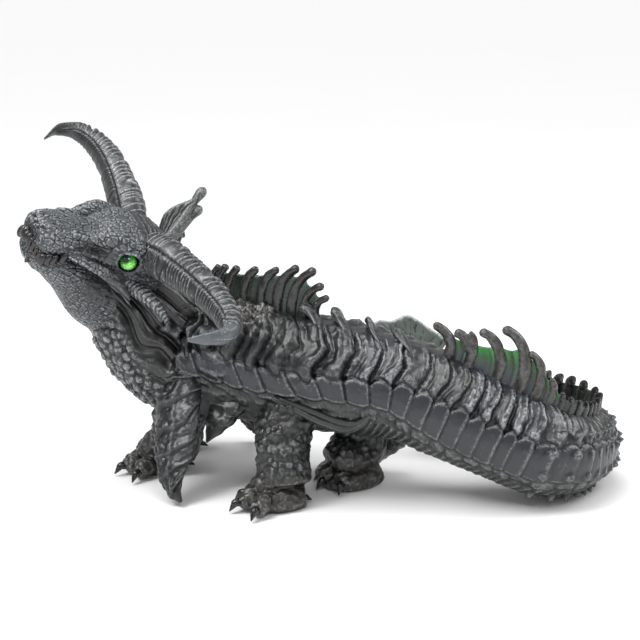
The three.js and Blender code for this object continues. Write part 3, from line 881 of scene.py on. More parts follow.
headForm = {
    # forward, half width, top, mouth line
    "skull": [
        (-58, 30, 12, -30),
        (-46, 42, 30, -36),
        (-20, 45, 36, -34),
        (4, 41, 31, -26),
        (20, 37, 24, -24),
        (34, 33, 12, -22),
        (55, 32, 6, -21),
        (72, 32, 3, -27),
        (84, 29, -2, -31),
        (91, 21, -8, -26),
    ],
    # forward, half width, top, chin
    "jaw": [
        (-50, 30, -20, -76),
        (-30, 38, -24, -92),
        (0, 38, -22, -88),
        (36, 33, -19, -67),
        (64, 31, -21, -54),
        (78, 27, -29, -50),
        (85, 19, -27, -45),
    ],
    # tubes along each side: forward, left, up, radius
    "ridges": [
        [(46, 24, 4, 5), (24, 30, 15, 9), (0, 36, 16, 9), (-22, 38, 14, 6)],
        [(62, 29, -18, 3), (36, 37, -17, 5), (10, 43, -21, 6), (-8, 47, -27, 5), (-24, 53, -38, 0.8)],
        [(64, 22, 1, 4), (44, 25, 5, 5), (22, 27, 18, 6)],
    ],
    "mouthAt": (-60, -20, 4, 34, 60, 67, 76, 84, 91),
    "mouth": (-34, -34, -26, -22, -21, -23, -29, -33.5, -34),
    "squareness": {"skull": 2.5, "jaw": 2.2},
    "nostril": {"at": (85, 13, -7), "size": (6, 7, 6), "pitAt": (91, 12, -8), "pitSize": (5, 4, 3)},
    "barbel": [(80, 8, -43, 3.5), (86, 12, -45, 2.4), (91, 14, -49, 0.7)],
    "socketGap": 0.6,
    "voxel": 1.02,
    "smoothing": 4,
}
# Millimetres of relief.
headSkin = {
    "fluteHeight": 2.0,
    "wrinkle": 1.1,
    "hollowBefore": 4.8,
    "hollowBehind": 3.0,
    "lidHeight": 0.7,
    "lidsAt": (13, 17),  # from the eye's middle: the lids' crown and the crease round them
    "mouthDepth": 2.4,
    "roughness": 0.5,
    "nostrilDepth": 3.5,
}
# Cell size forward, across and up, seed, how unevenly the cells lie, widths of groove and crack, height,
# and what a cell's own number adds.
scaleSkins = {
    "snout": ((8.2, 4.8, 5.2), 111, 0.5, 0.16, 0.15, 1.3, 0.6),
    "cheek": ((5.2, 3.4, 3.2), 121, 0.6, 0.18, 0.17, 0.9, 0.3),
    "jaw": ((7.2, 3.6, 3.4), 131, 0.65, 0.18, 0.17, 0.9, 0.3),
}
teeth = {"count": 19, "back": 64, "reach": 29.5, "half": 30.5, "size": (4.0, 4.0, 6.2), "uneven": 0.8}


def headLoft(name, stations=70, sides=72):
    values = curveThrough(headForm[name], stations)
    turn = circle(sides, 0.5)

    def squared(value):
        return np.sign(value) * np.abs(value) ** (2 / headForm["squareness"][name])

    middle = (values[:, 2] + values[:, 3])[:, None] / 2
    tall = (values[:, 2] - values[:, 3])[:, None] / 2
    forward = np.repeat(values[:, :1], sides, 1)
    across = squared(np.cos(turn))[None] * values[:, 1:2]
    return tube(np.stack([forward, across, middle + squared(np.sin(turn))[None] * tall], -1))


def mirrored(rows):
    return [(x, -y, z, *rest) for x, y, z, *rest in rows]


# The mouth line rises over the front of the snout.
def mouthHeight(forward, side):
    frontRise = 9 * ramp(74, 84, forward) * (1 - np.clip(np.abs(side) / 27, 0, 1) ** 2)
    return np.interp(forward, headForm["mouthAt"], headForm["mouth"]) + frontRise


def teethParts():
    parts = []
    for number, share in enumerate(np.linspace(-1, 1, teeth["count"])):
        turn = share * math.pi / 2
        forward = teeth["back"] + teeth["reach"] * math.cos(turn) ** 0.75
        sideways = teeth["half"] * math.sin(turn)
        place = (forward, sideways, mouthHeight(forward, sideways) + teeth["uneven"] * (-1) ** number)
        size = np.array(teeth["size"]) * (0.8 + 0.4 * chance[number])
        parts.append(ballPart(place, size, rings=7, around=10))
    parts.append(roundLimb(headForm["barbel"], 12, 12, (0, 0, 1)))
    return parts


def headForms():
    parts = [headLoft("skull"), headLoft("jaw")]
    for rows in headForm["ridges"]:
        parts += [roundLimb(placed, 24, 16, (0, 0.3, 1)) for placed in (rows, mirrored(rows))]
    nostril = headForm["nostril"]
    parts += [ballPart(np.array(nostril["at"]) * (1, way, 1), nostril["size"]) for way in (1, -1)]
    return parts


# Where each point lies on the head, as shares of its regions.
def headPlaces(verts):
    x, y, z = verts.T
    at = SimpleNamespace(verts=verts, x=x, z=z, side=np.abs(y), mouth=z - mouthHeight(x, y))
    at.upper = ramp(-2, 2, at.mouth)
    at.onTop = ramp(-12, 2, z + 0.12 * x)
    at.rooted = ramp(4, -14, x) * ramp(0, 12, z)
    at.cheek = ramp(40, 10, x) * ramp(-12, -22, z) * ramp(-62, -40, z) * ramp(24, 32, at.side)
    at.mouthLine = ramp(-40, -20, x)
    at.eyeAway = np.linalg.norm(np.stack([x, at.side, z], 1) - head["eye"], axis=1)
    # hollows before and behind the eye
    at.before = bump(x, 36, 17) * bump(z + 0.1 * (x - 36), -2, 5.5) * ramp(20, 30, at.side)
    at.behind = bump(x, -22, 13) * bump(z, -6, 8) * ramp(26, 36, at.side)
    nostril = headForm["nostril"]
    at.pits = 0
    for way in (1, -1):
        pit = (verts - np.array(nostril["pitAt"]) * (1, way, 1)) / nostril["pitSize"]
        at.pits = at.pits + ramp(1.2, 0.3, np.linalg.norm(pit, axis=1))
    return at


# Scutes in rows along the snout, finer ones on the cheeks, crackle under the jaw.
def headScales(at):
    warp = at.verts + 2.6 * noiseVector(at.verts, 17, 101)
    reliefs, cracks = [], []
    for size, seed, spread, groove, crack, tall, uneven in scaleSkins.values():
        edge, _, own = cells(warp / size, 1, seed, spread)
        reliefs.append(tall * ramp(0.0, groove, edge) + uneven * (own - 0.5))
        cracks.append(ramp(crack, 0.02, edge))

    def byPlace(snout, cheek, jaw):
        return at.upper * (at.onTop * snout + (1 - at.onTop) * cheek) + (1 - at.upper) * jaw

    at.cracks = byPlace(*cracks)
    return byPlace(*reliefs)


def headRelief(at):
    verts = at.verts
    flutes = ridge((at.x + 0.35 * at.z) / 6.5 + 0.35 * noise(verts, 14, 161), 1.1)
    flutes = headSkin["fluteHeight"] * flutes - 1.2
    relief = blend(headScales(at), flutes, at.rooted)
    wrinkles = headSkin["wrinkle"] * noise(verts / (16, 5, 3.2), 1, 162)
    relief = blend(relief, wrinkles, at.cheek * 0.7)
    relief -= headSkin["hollowBefore"] * at.before + headSkin["hollowBehind"] * at.behind
    crown, crease = headSkin["lidsAt"]
    lids = bump(at.eyeAway, crown, 2.2) - 0.8 * bump(at.eyeAway, crease, 1.6)
    lids *= 0.3 + 1.2 * ramp(-4, 8, at.z - head["eye"][2])
    relief = relief * ramp(11, 17, at.eyeAway) + headSkin["lidHeight"] * lids
    relief += 0.5 * bump(at.eyeAway, 12, 2) * noise(verts, 5, 163)
    relief -= headSkin["mouthDepth"] * bump(at.mouth, 0, 1.8) * at.mouthLine
    return relief + headSkin["roughness"] * rough(verts, 7, 141) - headSkin["nostrilDepth"] * at.pits


# A bowl round the glass.
def carveSocket(verts, way):
    bowl = head["eyeRadius"] + headForm["socketGap"]
    gaze = unit(np.array([0.35, way, 0.1]))
    local = verts - np.array(head["eye"]) * (1, way, 1)
    depth = local @ gaze
    across = np.linalg.norm(local - depth[:, None] * gaze, axis=1)
    inside = (np.linalg.norm(local, axis=1) < bowl + 2.5) & (across < bowl) & (depth > -bowl)
    wanted = -np.sqrt(np.clip(bowl**2 - across**2, 0, None))
    verts[inside] += ((wanted - depth)[:, None] * gaze)[inside]


def headPaint(at, verts):
    paint = evenPaint(paints["head"], len(at.x))
    # Painted shade in the crack colour: the hollow before the eye, round the eye's socket, along the mouth
    # line and in the nostrils.
    dark = at.before * 1.1 + ramp(14.5, 11, at.eyeAway) + bump(at.mouth, 0, 2.2) * at.mouthLine + at.pits
    for tone, share in (
        (paints["head"] * 0.62, 0.5 + 0.8 * rough(verts, 20, 151)),
        (paints["horn"] * 0.8, at.rooted),
        (paints["charcoal"], ramp(-15, -50, at.x) * 0.8),
        (paints["moss"] * 1.5, at.cheek * 0.7),
        (paints["crack"], at.cracks * 0.95 * (1 - at.rooted) * (1 - 0.8 * at.cheek)),
        (paints["crack"], dark),
        (paints["claw"], ramp(60, 74, at.x) * bump(at.mouth, 0, 9) * 0.85),
    ):
        paint = blendPaint(paint, tone, share)
    return paint


def buildHead():
    verts, faces = fuse(headForms(), headForm["voxel"], headForm["smoothing"])
    normals = normalsOf(verts, faces)
    at = headPlaces(verts)
    verts = verts + normals * headRelief(at)[:, None]
    for way in (1, -1):
        carveSocket(verts, way)
    paint = headPaint(at, verts)
    toothVerts, toothFaces = joined(teethParts())
    toothPaint = evenPaint(paints["claw"] * (3, 3, 3, 1, 1), len(toothVerts))
    verts, faces = joined([(verts, faces), (toothVerts, toothFaces)])
    return makePiece("head", fromHead(verts), faces, np.vstack([paint, toothPaint]))


headPiece = buildHead()


horns = {
    # forward, left, up, radius
    "rows": [
        (-22, 22, 12, 21),
        (-24, 50, 23, 22),
        (-28, 90, 31, 19),
        (-32, 134, 36, 16.5),
        (-30, 176, 37, 13.5),
        (-18, 201, 33, 10.5),
        (0, 205, 24, 7),
        (14, 196, 12, 2),
    ],
    "flatness": 0.74,
    "ribs": 31,
    "ribDepth": 3.0,
    "seamDepth": 2.2,
    "notchDepth": 2.4,  # where the bare tip begins
    "core": 0.96,  # the plain horn, as a share of the rows' radius
    "seam": 20,  # degrees up from the front where the two strips meet
    "smoothFrom": 0.62,  # the tip beyond this share is bare
    "stations": 310,
    "sides": 60,
}
cheekHorns = {
    # forward, left, up, radius
    "rows": [(-20, 34, -22, 13), (-30, 56, -20, 10), (-42, 78, -22, 6), (-52, 92, -32, 1.2)],
    "ribs": 15,
    "stations": 110,
    "sides": 30,
}
# The outer strip's paint, the inner strip's and the tip's, on the left horn and on the right one. The right
# horn's inner strip is much darker, as painted shade, and its tip is painted darker than the left one's.
hornPaints = {
    1: (paints["horn"] * 0.9, paints["charcoal"] * (0.8, 0.8, 0.8, 1.3, 1), paints["head"] * 1.1),
    -1: (paints["horn"] * 1.15, paints["charcoal"] * (0.35, 0.35, 0.35, 0.3, 1), paints["charcoal"] * 1.3),
}


# Ribs lap up the outer strip and, closer together, up the inner one; the tip is bare.
def hornRelief(plan, centres, share, angle):
    grid = (len(centres), angle.size)
    flat = np.broadcast_to(centres[:, None], (*grid, 3)).reshape(-1, 3)
    step = share * plan["ribs"]
    step = step + 0.9 * noiseAlong(step * 0.55, 201) + 0.15 * noise(flat, 9, 202).reshape(grid)

    def ribs(phase, seed, least, more, crown, power, drop):
        return (least + more * stepNumber(phase, seed)) * (lap(phase % 1, crown, power) - drop)

    outerPhase = step - angle / 230 + 0.10 * np.sin(np.radians(angle * 3))
    outerRibs = ribs(outerPhase, 203, 0.35, 0.8, 0.72, 1.6, 0.35)
    innerRibs = ribs(step * 1.7 + angle / 160 + 0.4, 204, 0.2, 0.5, 0.75, 1.4, 0.3)
    seam, bareFrom = plan["seam"], plan["smoothFrom"]
    bare = ramp(bareFrom - 0.03, bareFrom + 0.1, share)
    outer = ramp(seam - 2, seam + 4, angle) * ramp(179, 168, angle)
    relief = plan["ribDepth"] * (1 - 0.88 * bare) * (outer * outerRibs + (1 - outer) * innerRibs)
    relief += (1.5 * outer - 0.6) * ramp(0.97, 0.8, share) * ramp(0.0, 0.08, share)
    relief -= plan["seamDepth"] * bump(angle, seam - 1, 4) * ramp(0.93, 0.8, share) * ramp(0.02, 0.15, share)
    relief -= plan["notchDepth"] * bump(share, bareFrom + 0.01, 0.014) * bump(angle, 95, 45)
    relief -= 1.1 * bump(np.abs(angle), 180, 12) * (1 - bare)
    grit = flat + angle.repeat(grid[0], 0).reshape(-1, 1) / 9
    return relief + 0.35 * rough(grit, 5, 205).reshape(grid), outer


def hornPart(plan, way):
    values = curveThrough(np.array(plan["rows"], float) * (1, way, 1, 1), plan["stations"])
    centres = fromHead(values[:, :3])
    along = tangents(centres)
    side = unit(np.cross(along, headAxes[2])) * way
    turn = circle(plan["sides"])
    share = np.linspace(0, 1, plan["stations"])[:, None]
    angle = np.degrees(turn)[None, :]
    angle = np.where(angle > 180, angle - 360, angle)  # 0 faces forward, 90 up the head
    relief, outer = hornRelief(plan, centres, share, angle)
    wide = values[:, 3:4] * plan["core"] + relief
    slim = plan["flatness"] * (1 - 0.4 * ramp(0.74, 0.9, share))
    sidePart, upPart = ringWays(side, np.cross(side, along) * way, turn)
    rings = centres[:, None] + (sidePart * slim[..., None] + upPart) * wide[..., None]
    outerTone, innerTone, tipTone = hornPaints[way]
    groove = bump(angle, plan["seam"] - 1, 5) * ramp(0.93, 0.8, share)
    paint = evenPaint(outerTone, relief.size)
    for tone, part in (
        (innerTone, (1 - outer) * 0.9),
        (paints["crack"], groove * 0.9),
        (tipTone, ramp(0.64, 0.72, share)),
    ):
        paint = blendPaint(paint, tone, np.broadcast_to(part, relief.shape).ravel())
    return tube(rings), withEnds(paint)


def cheekPart(plan, way):
    values = curveThrough(np.array(plan["rows"], float) * (1, way, 1, 1), plan["stations"])

    def shape(place, turn):
        ribs = lap((place * plan["ribs"] + 0.5 * noiseAlong(place * 9, 211) + turn / 9) % 1, 0.75)
        return 0.92 + 0.14 * ribs * ramp(1.0, 0.85, place) + 0.10 * np.cos(2 * turn)

    centres, radii = fromHead(values[:, :3]), np.maximum(values[:, 3], 0.5)
    part = tube(sweep(centres, radii, plan["sides"], headAxes[0], 0.75, shape))
    return part, evenPaint(paints["charcoal"] * (1.1, 1.1, 1.1, 2.0, 1), len(part[0]))


# One piece from closed forms that each come with their paint.
def makeJoined(name, painted, rounds):
    verts, faces = joined([part for part, _ in painted])
    return makePiece(name, verts, faces, np.vstack([paint for _, paint in painted]), rounds)


hornParts = [hornPart(horns, 1), hornPart(horns, -1), cheekPart(cheekHorns, 1), cheekPart(cheekHorns, -1)]
hornPiece = makeJoined("horns", hornParts, 8)


legs = [
    {
        "name": "nearHind",
        "limb": [(-20, -4, 98, 28), (-25, -29, 73, 29), (-17, -40, 46, 27), (-10, -44, 22, 25)],
        "foot": (-18, -49),
        "heading": 226,
        "scale": 1,
        "pad": 1,
        "voxel": 1.2,
    },
    {
        "name": "farHind",
        "limb": [
            (-4, 36, 124, 30),
            (-2, 50, 106, 36),
            (4, 64, 82, 34),
            (6, 69, 58, 30),
            (6, 69, 38, 27),
            (-2, 58, 18, 27),
        ],
        "foot": (4, 46),
        "heading": 238,
        "scale": 0.82,
        "pad": 1.18,
        "instep": ((4, 29, 25), (20, 23, 19)),
        "spur": [(10, 78, 34, 22), (30, 98, 33, 9), (38, 108, 31, 1.5)],
        "voxel": 1.45,
    },
    {
        "name": "nearFront",
        "limb": [(-143, -30, 104, 34), (-156, -34, 68, 29), (-164, -30, 42, 26), (-172, -30, 20, 25)],
        "foot": (-184, -34),
        "heading": 224,
        "scale": 1,
        "pad": 0.9,
        "voxel": 1.25,
    },
    {
        "name": "farFront",
        "limb": [(-158, 22, 104, 36), (-190, 34, 68, 28), (-205, 34, 42, 24), (-212, 32, 20, 22)],
        "foot": (-216, 28),
        "heading": 214,
        "scale": 0.62,
        "pad": 0.8,
        "voxel": 1.45,
    },
]
# Rows hold how far forward, the height and the radius.
footLook = {
    "middle": 9.0,
    "pads": [(-27, 18, 13), (-8, 27, 18), (14, 28, 14), (26, 17, 8)],  # forward, half width, half height
    "instep": ((6, 26, 19), (22, 15, 12)),
    "heel": ((-20, 8, 5), (-29, 6, 3), (-35, 3, 0.6)),
    "toes": ((54, 58), (18, 54), (-20, 44), (-58, 34)),  # turn from the foot's heading, and reach
    "toeRadius": 9.8,
    "toeHeights": (14, 12, 8.5),
    "clawLength": 13,
    "clawRadius": 4.2,
    "clawHeights": (11, 9.5, 3),
}
legSkin = {
    "smoothing": 5,
    "pebbleSize": 7.4,
    "pebbleHeight": (0.2, 2.6),
    "bandHeight": 2.8,  # folds round the upper leg
    "bandSpacing": 17,
    "footHeight": (42, 28),  # pebbles above, creases below
}


def headingWays(degrees):
    turn = math.radians(degrees)
    forward = np.array([math.cos(turn), math.sin(turn), 0])
    return forward, np.array([-forward[1], forward[0], 0])


def rowsAlong(foot, way, marks):
    return [(*(foot + way * away)[:2], height, radius) for away, height, radius in marks]


def footPad(foot, forward, side, size):
    pads = curveThrough(footLook["pads"], 26)[:, None]
    sidePart, upPart = ringWays(side[None], np.array([[0, 0, 1.0]]), circle(36))
    middle = foot + forward * pads[..., :1] * size
    return tube(middle + sidePart * pads[..., 1:2] * size + upPart * pads[..., 2:3])


# A toe and its claw.
def toeForms(foot, way, reach):
    knuckle = 1 - footLook["clawLength"] / reach
    radius, clawRadius = footLook["toeRadius"], footLook["clawRadius"]
    low, middle, end = footLook["toeHeights"]
    toe = [
        (0.15, low, radius),
        (knuckle * 0.55, middle, radius * 0.9),
        (knuckle * 0.8, middle, radius * 1.04),
        (knuckle * 1.02, end, radius * 0.72),
    ]
    top, bend, tip = footLook["clawHeights"]
    claw = [
        (knuckle * 0.88, top - 1, clawRadius * 1.1),
        ((knuckle * 1.2 + 0.8) / 2, top, clawRadius),
        ((knuckle + 2) / 3, bend - 1.5, clawRadius * 0.7),
        (1, tip, 0.5),
    ]
    toe, claw = (rowsAlong(foot, way * reach, marks) for marks in (toe, claw))
    return roundLimb(toe, 26, 24), roundLimb(claw, 22, 14)


def legForms(plan):
    foot = np.array([*plan["foot"], footLook["middle"]])
    forward, side = headingWays(plan["heading"])
    ankle = plan["limb"][-2]
    instep = [ankle, *rowsAlong(foot, forward, plan.get("instep", footLook["instep"]))]
    forms = [roundLimb(plan["limb"], 40, 40), footPad(foot, forward, side, plan["pad"])]
    forms.append(roundLimb(instep, 24, 28))
    claws = []
    for turn, reach in footLook["toes"]:
        toe, claw = toeForms(foot, headingWays(plan["heading"] + turn)[0], reach * plan["scale"])
        forms.append(toe)
        claws.append(claw)
    claws.append(roundLimb(rowsAlong(foot, forward, footLook["heel"]), 14, 12))
    if "spur" in plan:
        forms.append(roundLimb(plan["spur"], 26, 28))
    return forms, claws


# Nothing goes under the floor.
def groundFlat(verts):
    verts = verts.copy()
    height = verts[:, 2]
    flat = ground["flatAt"] + np.maximum(height, 0) * ground["flatShare"]
    verts[:, 2] = np.where(height < ground["flatBelow"], flat, height)
    return verts


# Pebbles and bands up the leg; long creases run down the foot, short ones over the toes.
def legRelief(plan, verts):
    height = verts[:, 2]
    seed = 300 + len(plan["name"]) * 7
    warp = verts + 2.4 * noiseVector(verts, 11, seed)
    _, centre, own = cells(warp, legSkin["pebbleSize"], seed + 3)
    least, more = legSkin["pebbleHeight"]
    veins = bump(noise(warp, 8, seed + 9), 0, 0.12)
    pebbles = (least + more * own**1.6) * np.clip(1.25 - (centre / 0.6) ** 2, 0, 1) - 1.0
    pebbles += 1.7 * rough(verts, 13, seed + 8) + 0.4 * veins
    ahead, beside = headingWays(plan["heading"])
    away = verts - np.array([*plan["foot"], 0.0])
    forward, sideways = away @ ahead, away @ beside
    creases = grain(seed + 5, forward / 15, sideways / 3.6, height / 7)
    folds = grain(seed + 6, forward / 3.4, sideways / 11, height / 9) * ramp(12, 30, forward)
    skin = 1.1 * creases + 0.9 * folds + 0.8 * rough(verts, 7, seed + 7) + 0.35 * veins
    relief = blend(pebbles, skin, ramp(*legSkin["footHeight"], height))
    bandPlace = height / legSkin["bandSpacing"] + 0.5 * noise(verts, 24, seed + 4)
    bands = legSkin["bandHeight"] * lap(bandPlace % 1, 0.7) - 1.6
    return (relief + bands * ramp(50, 70, height) * 0.7) * ramp(0.5, 5, height)


def buildLeg(plan):
    forms, claws = legForms(plan)
    verts, faces = fuse(forms, plan["voxel"], legSkin["smoothing"])
    height = verts[:, 2]
    paint = evenPaint(paints["foot"], len(verts))
    paint = blendPaint(paint, paints["charcoal"] * 0.8, ramp(26, 48, height) * 0.85)
    # painted shade, near black, where the leg goes up under the body
    paint = blendPaint(paint, paints["neck"], ramp(66, 96, height))
    verts = groundFlat(verts + normalsOf(verts, faces) * legRelief(plan, verts)[:, None])
    clawVerts, clawFaces = joined(claws)
    claws = (groundFlat(clawVerts), clawFaces), evenPaint(paints["claw"], len(clawVerts))
    return makeJoined(plan["name"] + "Leg", [((verts, faces), paint), claws], 10)


legPieces = [buildLeg(plan) for plan in legs]


blades = {
    # centre, half width, half thickness
    "rows": [
        (-127, -50, 128, 10, 12),
        (-129, -58, 112, 21, 14),
        (-127, -70, 94, 25, 13),
        (-119, -83, 72, 25, 11),
        (-114, -95, 51, 23, 9),
        (-110, -104, 34, 17, 7),
        (-103, -110, 18, 10, 5),
        (-92, -112, 6, 2, 1.5),
    ],
    "outward": (0.25, -0.95, 0.2),
    "bands": 6.5,
    "bandHeight": 3.6,
    "keel": 2.4,
    "stations": 170,
    "sides": 84,
}
# The far side's pieces are mirrored across the trunk's middle, at the shoulders.
shoulderAt = spineRows[3, :3]
trunkAcross = (spineRows[5, :3] - shoulderAt) * (1, 1, 0)
trunkAcross = unit(np.array([trunkAcross[1], -trunkAcross[0], 0]))


def acrossTrunk(points):
    away = (points - shoulderAt) @ trunkAcross
    return points - 2 * away[..., None] * trunkAcross


# Bands lap toward the tip: knobby on the front face, finely lined behind, with a keel between.
def bladeRelief(plan, flat, share, angle, frontPart):
    grid = (plan["stations"], plan["sides"])
    rearLean = np.clip((angle - 90) / 90, 0, 1)
    frontLean = np.clip((90 - angle) / 90, -1, 1) * -0.35
    lean = frontLean * frontPart + rearLean * (1 - frontPart)
    place = share * plan["bands"] + lean + 0.14 * noise(flat, 14, 401).reshape(grid)
    bands = plan["bandHeight"] * (lap(place - np.floor(place), 0.86, 1.2) - 0.5)
    _, centre, own = cells(flat, 6.6, 411)
    knobs = ((0.5 + 1.9 * own) * dome(centre / 0.7) - 0.5).reshape(grid)
    lines = grain(412, place * 6, angle / 60 + 0 * share, 0.0).reshape(grid)
    edges = 0.35 + 0.65 * ramp(0, 25, angle) * ramp(180, 155, angle)
    relief = bands * edges + frontPart * knobs + (1 - frontPart) * 0.6 * lines
    relief += 0.6 * rough(flat, 6, 421).reshape(grid)
    relief += plan["keel"] * bump(angle, 88, 8) * ramp(0.06, 0.2, share) * ramp(1.0, 0.8, share)
    return relief * ramp(1.0, 0.88, share) * (0.25 + 0.75 * ramp(0.0, 0.12, share))


def bladePart(plan):
    values = curveThrough(plan["rows"], plan["stations"])
    centres = values[:, :3]
    halfWide, halfThick = values[:, 3, None, None], values[:, 4, None, None]
    along = tangents(centres)
    wide = unit(np.cross(along, np.array(plan["outward"])))
    turn = circle(plan["sides"])
    angle = np.degrees(turn)[None, :]
    # 0 is the front edge, 90 the outer face and 180 the rear edge
    angle = np.where(angle > 270, angle - 360, angle)
    share = np.linspace(0, 1, plan["stations"])[:, None]
    widePart, thickPart = ringWays(wide, unit(np.cross(wide, along)), turn)
    ring = centres[:, None] + widePart * halfWide
    flat = (ring + thickPart * halfThick).reshape(-1, 3)
    frontPart = ramp(98, 84, angle)
    relief = bladeRelief(plan, flat, share, angle, frontPart)
    outward = unit(widePart / np.maximum(halfWide, 2) + thickPart / np.maximum(halfThick, 2))
    rings = blend(centres[:, None], ring, 0.93) + thickPart * halfThick * 0.9
    paint = evenPaint(paints["charcoal"] * (0.45, 0.45, 0.48, 0.4, 1), relief.size)
    paint = blendPaint(paint, paints["plate"], ((1 - frontPart) * ramp(1, 0.4, share) * 0.5).ravel())
    return rings + outward * relief[..., None], withEnds(paint)


rings, paint = bladePart(blades)
verts, faces = joined([tube(rings), tube(acrossTrunk(rings))])
bladePiece = makePiece("shoulderBlades", groundFlat(verts), faces, np.vstack([paint, paint]), 10)


crest = {
    # row along the spine, height, how far the tip hooks toward the head (less than zero: toward the tail),
    # thickness, and how many degrees down the outer side the foot stands
    "spines": [
        (1.5, 14, -5, 4.2, 0),
        (2.1, 18, -6, 4.6, 0),
        (2.75, 25, -8, 5.4, 0),
        (3.06, 29, -8, 4.6, 0),
        (3.28, 31, -9, 4.7, 0),
        (3.48, 33, -11, 4.8, 0),
        (3.68, 34, -12, 5.0, 0),
        (3.9, 37, -15, 5.2, 0),
        (4.15, 42, -18, 5.4, 0),
        (4.42, 48, -22, 5.5, 0),
        (4.66, 48, -24, 5.4, 0),
        (4.86, 33, -20, 4.8, 0),
        (5.04, 21, -15, 4.3, 0),
        (7.6, 21, 27, 5.2, 0),
        (7.99, 23, 26, 5.6, 0),
        (8.53, 35, 36, 5.6, 0),
        (9.01, 49, 41, 5.8, 0),
        (9.36, 37, 25, 5.0, 0),
        (9.66, 21, 9, 4.2, 5),
        (9.9, 14, 5, 3.2, 14),
        (10.14, 13, 5, 3.0, 20),
        (10.4, 12, 4, 3.0, 24),
        (10.68, 12, 4, 3.0, 26),
        (10.96, 12, 4, 3.0, 26),
        (11.24, 12, 4, 3.0, 26),
        (11.5, 12, 4, 3.2, 26),
        (11.75, 13, 5, 4.4, 25),
        (12.0, 14, 5, 4.4, 22),
        (12.28, 16, 6, 5.2, 15),
        (12.56, 18, 7, 5.6, 9),
        (12.86, 19, 7, 5.8, 8),
        (13.16, 21, 8, 5.8, 12),
        (13.55, 16, 7, 4.4, 6),
        (14.05, 13, 7, 3.0, 0),
    ],
    "secondTip": (7.99, 26, 13, 4.8, 0),  # one hook is forked
    # a vane starts on the crest and runs down the flank as a fold's edge: row, angle, height over the skin
    "vanes": [
        [(4.84, 9, 7), (4.95, 7, 8), (5.08, 10, 3), (5.22, 20, -1), (5.34, 32, -3), (5.4, 42, -6)],
        [(5.36, 6, 8), (5.46, 5, 9), (5.58, 9, 3), (5.72, 19, -1), (5.86, 31, -3), (5.96, 42, -6)],
        [(5.98, 5, 8), (6.08, 5, 8), (6.2, 13, 2), (6.36, 23, -1), (6.5, 34, -3), (6.58, 44, -6)],
        [(6.62, 5, 3), (6.7, 6, 3), (6.85, 14, 0), (7.02, 26, -2), (7.15, 40, -6)],
    ],
    "vaneRadius": 7.6,
    "farVaneDrop": 6,  # the far side's vanes lie lower, out of sight
    "lumps": 0.45,
    "webReach": (0.84, 0.62),
    "webSag": (0.13, 0.12),
    "webThickness": 5.5,
    "webGrain": 1.5,
    "webRoot": 9,  # millimetres that a web's foot is sunk
    "joinWebs": 0.7,  # no web spans more rows than this
    "lastWeb": 13.4,  # and none starts beyond this row
    "greenRows": (7.2, 7.7, 9.7, 10.0),  # the bright webs fade in and out over these
}


# Points up the middle of a spine.
def crestPath(spineRow, tall, hook, lean, count=36):
    centre, along, side, back, width, height = (values[0] for values in spineAt([spineRow]))
    turn = math.radians(lean)
    base = centre + (back * math.cos(turn) * height + side * math.sin(turn) * width) * spine["skin"]
    back = back * math.cos(turn * 0.5) + side * math.sin(turn * 0.5)
    # how far up, and how far toward the head, as shares of the height and the hook
    if hook > 0:
        marks = [(0.35, 0.07), (0.62, 0.22), (0.82, 0.4), (0.97, 0.7), (0.99, 1.0)]
    else:
        marks = [(0.35, 0.06), (0.7, 0.36), (0.98, 1.0)]
    marks = curveThrough([(-9, 0), *((up * tall, ahead * hook) for up, ahead in marks)], count)
    return base + marks[:, :1] * back - marks[:, 1:] * along, side


def crestSpine(path, side, hook, radius, number):
    share = np.linspace(0, 1, len(path))
    size = radius * (1.2 - (0.42 if hook <= 0 else 0.4) * share + 0.06 * bump(share, 0.95, 0.05))
    size *= roundEnd(share, 0.9, 0.105)

    def shape(place, turn):
        return 1 + 0.06 * np.sin(3 * turn + place * 5 + number) + 0.04 * np.sin(place * 17 + number)

    rings = sweep(path, size, 22 if radius > 4.5 else 14, side, 1.0, shape)
    lumps = crest["lumps"] * rough(rings.reshape(-1, 3), 8, 500 + number).reshape(rings.shape[:2])
    lumps = lumps * np.clip(size / 3, 0, 1)[:, None]
    return tube(rings + unit(rings - path[:, None]) * lumps[..., None])


def vanePart(marks, way):
    marks = curveThrough(marks, 70)
    share = np.linspace(0, 1, len(marks))
    centre, skin, along = spineSkin(marks[:, 0], marks[:, 1] * way)
    path = centre + skin * spine["skin"] + unit(skin) * (marks[:, 2:] - crest["farVaneDrop"] * (way < 0))
    size = crest["vaneRadius"] * np.sqrt(np.clip(share / 0.12, 0.02, 1)) * (1 - 0.97 * share) ** 0.8

    def shape(place, turn):
        return 1 + 0.05 * np.sin(turn * 5 + place * 9)

    return tube(sweep(path, np.maximum(size, 0.3), 20, along[0], 0.5, shape))


# The sagging sheet between two spines; its foot follows the back, not the chord.
def webSheet(spineA, spineB, e, v):
    (rowA, leanA, pathA, sideA), (rowB, leanB, pathB, sideB) = spineA, spineB
    hooked = int(rowA > 6)
    reach = crest["webReach"][hooked] - crest["webSag"][hooked] * np.sin(np.pi * e) ** 0.8
    spot = v[None, :] * reach[:, None] * (len(pathA) - 1)
    pointA, pointB = (curveAt(path, spot.ravel()).reshape(*spot.shape, 3) for path in (pathA, pathB))
    sheet = blend(pointA, pointB, e[:, None, None])
    centre, along, side, back, width, height = spineAt(blend(rowA, rowB, e))
    lean = np.radians(blend(leanA, leanB, e))[:, None]
    foot = centre + back * np.cos(lean) * (height * spine["skin"] - crest["webRoot"])[:, None]
    foot += side * np.sin(lean) * (width * spine["skin"] - crest["webRoot"])[:, None]
    sheet += (foot - sheet[:, 0])[:, None] * (1 - v)[None, :, None] ** 2
    return sheet, unit(blend(sideA, sideB, e[:, None]))


